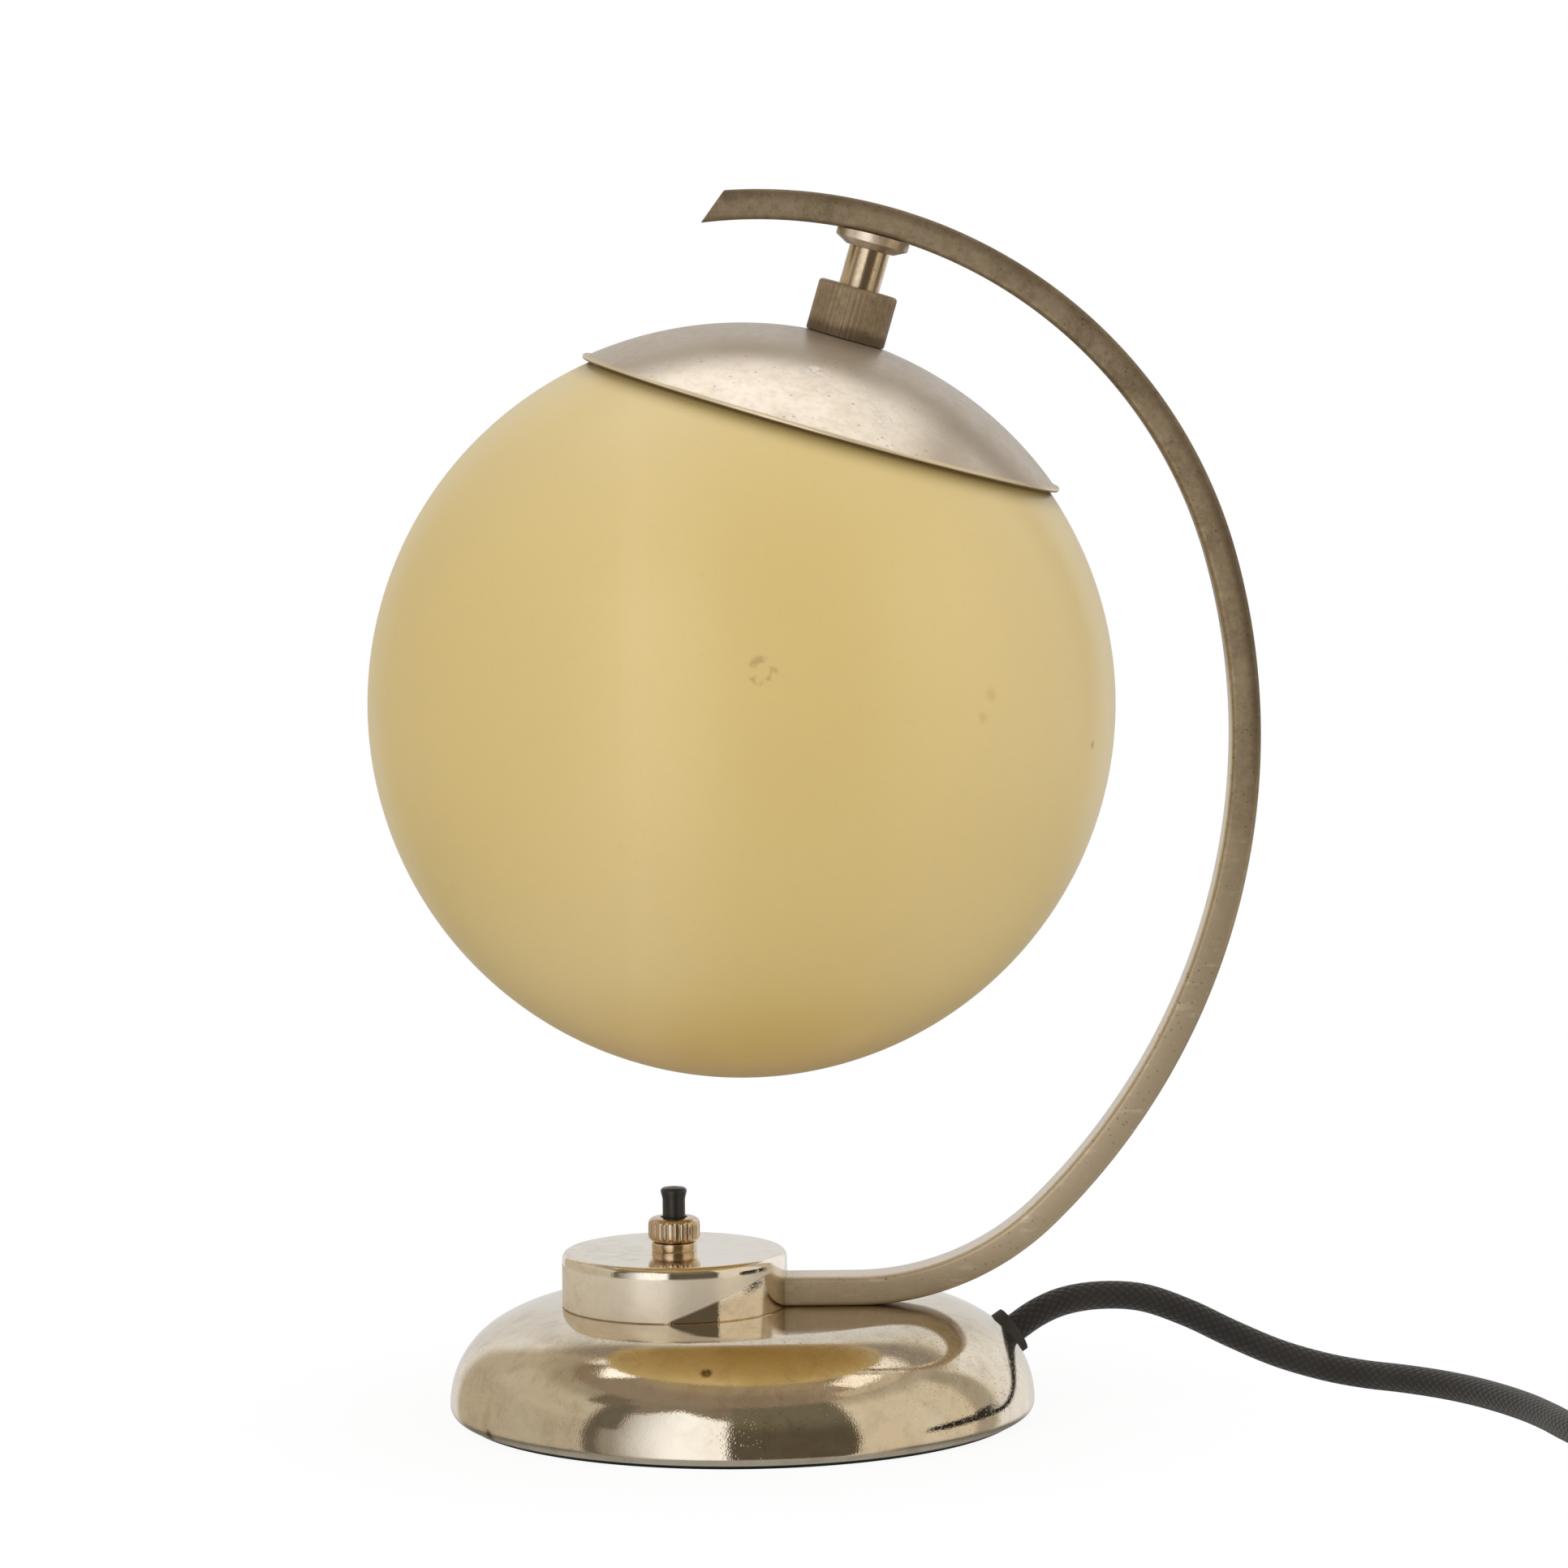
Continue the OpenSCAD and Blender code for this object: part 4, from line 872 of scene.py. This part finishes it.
# Knurled coupling nut
nut_line = [(neck_r + seat, 1.2), (6.0, 0.9), (6.2, 0.4), (nut_r - 0.5, 0.06), (nut_r - 0.1, 0.15)]
nut_line += [(nut_r, z) for z in (0.5, 2.8, 5.4, 8.4)] + rounded(nut_r, nut_h, 0.8, 6)
nut_line += [(neck_r + 1.2, nut_h), (neck_r + 0.5, nut_h - 0.1), (neck_r + seat, nut_h - 0.5)]
nut = lathe("neck_nut", nut_line, 10 * nut_flutes, SHADE @ Matrix.Translation((0, 0, nut_z)), closed=True,
            shape=fluted(nut_flutes, depth=0.11, outer_r=nut_r, width=0.6), sharp=50)
dress(nut, "nut", "dark_brass", "coupling_nut")

# Switch ring, its knurled collar nut and the button
drum_top = base_h + drum_h
hole_r = bush_r + seat
ring_line = [(hole_r, 0), (ring_r - 0.1, 0), (ring_r, 0.15)] + rounded(ring_r, ring_h - seat, 0.35, 4)
ring_line += [(hole_r, ring_h - seat)]
ring = lathe("plain_ring", ring_line, SMALL_ROUND, Matrix.Translation((switch_x, 0, drum_top)), closed=True)
dress(ring, "collar", "polished_nickel", "switch_ring")

collar_edge_r = 1.5
collar_in_r = button_head_r + gap
collar_line = [(hole_r, 0)] + arc(collar_r - collar_edge_r, collar_edge_r, collar_edge_r, -90, 0, 8)
collar_line += [(collar_r, 2.2), (collar_r, 3.1)] + rounded(collar_r, collar_h, collar_edge_r, 8)
collar_line += [(collar_in_r, collar_h), (collar_in_r, collar_h - 0.6), (hole_r, collar_h - 0.6)]
collar = lathe("collar_nut", collar_line, 12 * collar_flutes,
               Matrix.Translation((switch_x, 0, drum_top + ring_h)), closed=True,
               shape=fluted(collar_flutes, depth=0.17, outer_r=collar_r, width=0.36), sharp=50)
dress(collar, "collar", "polished_nickel", "switch_collar_nut")

cavity_z = under - seat - switch_flange_t + cavity_floor
guide_low = cavity_z + button_travel + seat
stop_high = drum_top - drum_wall - seat - bush_inside - loose
stop_low = stop_high - stop_t
button_top = drum_top + ring_h + collar_h + button_out
button_line = [(0, guide_low), (guide_r, guide_low), (guide_r, stop_low), (stop_r, stop_low)]
button_line += [(stop_r, stop_high), (button_r, stop_high)]
button_line += [(button_r, button_top - 2.8), (button_r + 0.12, button_top - 2.2)]
button_line += arc(button_head_r - 0.8, button_top - 1.1, 0.8, 0, 70, 6)
button_line += [(0.9, button_top - 0.16), (0, button_top)]
button = lathe("button_cap", button_line, SMALL_ROUND, Matrix.Translation((switch_x, 0, 0)))
dress(button, "button", "bakelite", "switch_button", body="button")

# Return spring under the button, with closed end turns
spring_turns = 6
end_turns = 0.75
steps = 24      # a turn
spring_low = cavity_z + seat + spring_wire_r
spring_high = stop_low - seat - spring_wire_r
spring_line = []
for i in range(steps * spring_turns + 1):
    turn = i / steps
    climb = min(max((turn - end_turns) / (spring_turns - 2 * end_turns), 0), 1)
    spring_line.append(Vector((switch_x + spring_r * cos(360 * turn), spring_r * sin(360 * turn),
                               spring_low + (spring_high - spring_low) * climb)))
spring = add_mesh("return_spring", sweep(spring_line, circle(spring_wire_r, 10), upright))
dress(spring, "steel", "steel", "switch_spring")
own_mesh(spring)

# Arm, swept a little past its tip and then cut off aslant
path_step = 0.75
past_tip_a = 3
arm_path = [Vector((x, 0, arm_z)) for x in (arm_start_x, 0, 5, 10, 15, 20, arm_bend_x)]
for centre, r, start, end in ((heel_c, heel_r, 0, heel_a), (back_c, back_r, heel_a, crook_from),
                              (crook_c, crook_r, crook_from, tip_a + past_tip_a)):
    n = int((end - start) / path_step)
    arm_path += [on_bend(centre, r, start + (end - start) * i / n) for i in range(1, n + 1)]
section = []
corner_x = arm_w / 2 - arm_edge_r
corner_y = arm_t / 2 - arm_edge_r
for side_x, side_y, a0 in ((1, 1, 0), (-1, 1, 90), (-1, -1, 180), (1, -1, 270)):
    section += arc(side_x * corner_x, side_y * corner_y, arm_edge_r, a0, a0 + 90, 5)


def off_the_bends(tangent):
    return Vector((0, 1, 0)).cross(tangent)


bm = sweep(arm_path, section, off_the_bends, uv=True)
tip_p = on_bend(crook_c, crook_r, tip_a) * MM
cut_a = 180 - tip_a + tip_cut_a
inwards = Vector((cos(cut_a), 0, -sin(cut_a)))
trimmed = bmesh.ops.bisect_plane(bm, geom=bm.verts[:] + bm.edges[:] + bm.faces[:], plane_co=tip_p,
                                 plane_no=-inwards, clear_outer=True)
tip_edges = [e for e in trimmed["geom_cut"] if isinstance(e, bmesh.types.BMEdge)]
bmesh.ops.contextual_create(bm, geom=tip_edges)
tip_edges = [e for e in bm.edges if e.is_valid and len(e.link_faces) == 2
             and all(abs((v.co - tip_p).dot(inwards)) < 1e-6 for v in e.verts)]
bmesh.ops.bevel(bm, geom=tip_edges, offset=tip_bevel * MM, segments=2, profile=0.5, affect="EDGES")
arm = add_mesh("bent_arm", bm)
dress(arm, "arm", "arm_patina", "arm")

# CAD nodes that stay, with their materials
kept = {
    "iron": ("base_weight",),
    "steel": ("base_plate", "clamp_screws", "arm_screws", "arm_washers", "cord_collar", "collar_screw",
              "spring_spider", "bulb_cap"),
    "brass": ("clamp_posts", "arm_foot_block", "switch_bush", "switch_terminals", "holder_cap",
              "holder_thread", "holder_contact"),
    "felt": ("felt_pad",),
    "bakelite": ("switch_body", "holder_sleeve"),
    "flange": ("neck_flange",),
    "neck": ("neck_tube",),
    "porcelain": ("holder_insulator", "wire_connector"),
    "bulb": ("bulb_glass",),
    "wire_brown": ("arm_wires", "cord_cores"),
    "rubber": ("cord_grommet",),
    "tie": ("cord_tie",),
    "plug": ("plug_relief", "plug_body"),
    "pin": ("plug_pins",),
}
for mat, names in kept.items():
    for name in names:
        obj = nodes[name]
        if not obj.data.materials:
            obj.data.materials.append(M[mat].data)
        for material_slot in obj.material_slots:
            material_slot.link = "OBJECT"
            material_slot.material = M[mat].data

# Floor: white to the camera, with a faint shadow close to the lamp
bm = bmesh.new()
bm.faces.new([bm.verts.new(p) for p in ((-1.6, -0.46, 0), (1.6, -0.46, 0), (1.6, 2.4, 0), (-1.6, 2.4, 0))])
floor = add_mesh("floor", bm)
white = Nodes(bpy.data.materials.new("floor_white"), "Object")
rays = white.node("LightPath")
direct = white.most(rays.outputs["Is Camera Ray"], rays.outputs["Is Transmission Ray"])
glow = white.node("Emission")
glow.inputs["Color"].default_value = (1, 1, 1, 1)
paper = white.node("BsdfDiffuse")
paper.inputs["Color"].default_value = (0.93, 0.92, 0.91, 1)
away = white.node("VectorMath", operation="LENGTH")
white.put(away.inputs[0], white.here)
either = white.node("MixShader")
white.put(either.inputs[0], white.mul(direct, white.span(away.outputs["Value"], 0.07, 0.13, 0.93, 1.0)))
white.put(either.inputs[1], paper.outputs[0])
white.put(either.inputs[2], glow.outputs[0])
white.put(white.tree.nodes["Material Output"].inputs["Surface"], either.outputs[0])
white.tree.nodes.remove(white.tree.nodes["Principled BSDF"])
floor.data.materials.append(white.data)
floor.visible_glossy = False      # polished metal sees the dull floor that is painted in the world instead

# World: the studio that the polished metal mirrors, painted by direction
w = Nodes(bpy.data.worlds.new("studio"), "Generated")
scene.world = w.data
dx, dy, dz = w.xyz()
azim = w.mul(w.calc("ARCTAN2", dx, w.mul(dy, -1.0)), 180 / math.pi)     # 0 towards the camera, + to the right
elev = w.mul(w.calc("ARCSINE", dz), 180 / math.pi)


def window(a0, a1, e0, e1, soft=0.8):
    """1 inside a patch between two azimuths and two elevations, with soft sides."""
    patch = w.mul(w.span(azim, a0 - soft, a0 + soft), w.span(azim, a1 - soft, a1 + soft, 1.0, 0.0))
    patch = w.mul(patch, w.span(elev, e0 - soft, e0 + soft))
    return w.mul(patch, w.span(elev, e1 - soft, e1 + soft, 1.0, 0.0))


# side walls, a little lighter half way up and on the right, and dim under the ceiling
wall = w.mix(w.span(azim, -40, 60), (0.57, 0.515, 0.425), (0.79, 0.72, 0.60))
wall = w.mix(window(-128, -66, 20, 40, 3), wall, (0.63, 0.575, 0.48))
high = w.mix(w.span(azim, 20, 60), (0.38, 0.34, 0.275), (0.55, 0.49, 0.40))
high = w.mix(w.span(azim, -75, -100), high, (0.46, 0.41, 0.335))
wall = w.mix(w.span(elev, 38, 48), wall, high)
wall = w.mix(window(104, 119, -30, 46, 2), wall, (0.47, 0.43, 0.36))
# white sheet behind the lamp, with a gap above it
behind = w.span(w.calc("ABSOLUTE", azim), 148, 166)
sheet = w.most(w.span(azim, -146, -156), w.span(azim, 116, 124))
cloth = w.mix(behind, (0.97, 0.975, 1.0), (0.76, 0.76, 0.76))
wall = w.mix(w.mul(sheet, w.span(elev, 33, 41, 1.0, 0.0)), wall, cloth)
wall = w.mix(w.mul(sheet, w.span(elev, 36, 44)), wall, (0.33, 0.30, 0.265))
# big window in front on the left, brightest at its right side, and lower towards both sides
window_left = window(-62, -5.6, -40, 60)
peak = w.sub(44.0, w.mul(w.calc("ABSOLUTE", w.add(azim, 29.0)), 0.5))
below = w.span(w.sub(peak, elev), -0.6, 1.2)
lit = w.mix(w.span(azim, -60, -24), (0.30, 0.27, 0.22), (1.26, 1.27, 1.32))
wall = w.mix(w.mul(window_left, below), wall, lit)
wall = w.mix(w.mul(window_left, w.sub(1.0, below)), wall, (0.28, 0.23, 0.18))
wall = w.mix(w.most(window(-65, -58, -24, 44), window(-65, -50, 15, 44, 1.5)), wall, (0.17, 0.15, 0.12))
wall = w.mix(window(-77, -58, 39, 52, 1.5), wall, (0.20, 0.165, 0.125))
# dark doorway in front on the right
door = w.mix(w.span(elev, 12, 34), (0.125, 0.105, 0.077), (0.195, 0.18, 0.13))
wall = w.mix(window(-5.6, 46.5, -40, 54), wall, door)
# dull floor
near_floor = w.mix(w.span(w.calc("ABSOLUTE", azim), 50, 75), wall, (0.22, 0.21, 0.19))
wall = w.mix(w.span(elev, -9, -24), wall, near_floor)
wall = w.mix(w.span(elev, -24, -52), wall, (0.40, 0.39, 0.38))
# ceiling: dim towards the camera, with bright lamps behind
ceiling = w.mix(w.span(azim, 30, 60), (0.32, 0.255, 0.195), (0.40, 0.33, 0.26))
wall = w.mix(w.span(elev, 49, 51), wall, ceiling)
wall = w.mix(w.span(elev, 62, 72), wall, (0.40, 0.32, 0.21))
panels = w.most(window(-141, -107, 57.5, 66), window(74, 109, 57.5, 67))
wall = w.mix(panels, wall, (1.40, 1.34, 1.28))
wall = w.mix(window(56, 124, 51, 57.5), wall, (0.66, 0.58, 0.46))
far = w.most(w.span(azim, -138, -142), w.span(azim, 112, 118))
studio = w.mix(w.mul(far, w.span(elev, 50, 53)), wall, (1.15, 1.10, 1.05))
# mirrors see that studio, everything else gets plain soft light, and the camera sees white
soft_light = w.mix(w.span(dz, -0.2, 1.0), (0.58, 0.58, 0.575), (0.70, 0.70, 0.70))
rays = w.node("LightPath")
seen = w.mix(rays.outputs["Is Glossy Ray"], soft_light, studio)
direct = w.most(rays.outputs["Is Camera Ray"], rays.outputs["Is Transmission Ray"])
w.put(w.tree.nodes["Background"].inputs["Color"], w.mix(direct, seen, (1.0, 1.0, 1.0)))


def lamp(name, at, size, power, color):
    """A square lamp that points at the middle of the lamp and shows in no reflection."""
    light = bpy.data.lights.new(name, "AREA")
    light.shape = "RECTANGLE"
    light.size = size
    light.size_y = size
    light.energy = power
    light.color = color
    obj = bpy.data.objects.new(name, light)
    obj.location = at
    obj.rotation_euler = (Vector((0, 0, 0.12)) - Vector(at)).to_track_quat("-Z", "Y").to_euler()
    obj.visible_camera = False
    obj.visible_glossy = False
    scene.collection.objects.link(obj)


lamp("key", (-0.75, -0.95, 0.95), 0.7, 4.4, (1.0, 0.97, 0.93))
lamp("fill", (1.1, -0.6, 0.7), 0.8, 2.6, (1.0, 0.98, 0.96))
lamp("front", (0.25, -1.5, 0.35), 0.6, 3.0, (1.0, 0.96, 0.90))
lamp("top", (0.0, 0.25, 1.5), 1.2, 3.0, (1.0, 1.0, 1.0))

scene.view_settings.view_transform = "Standard"
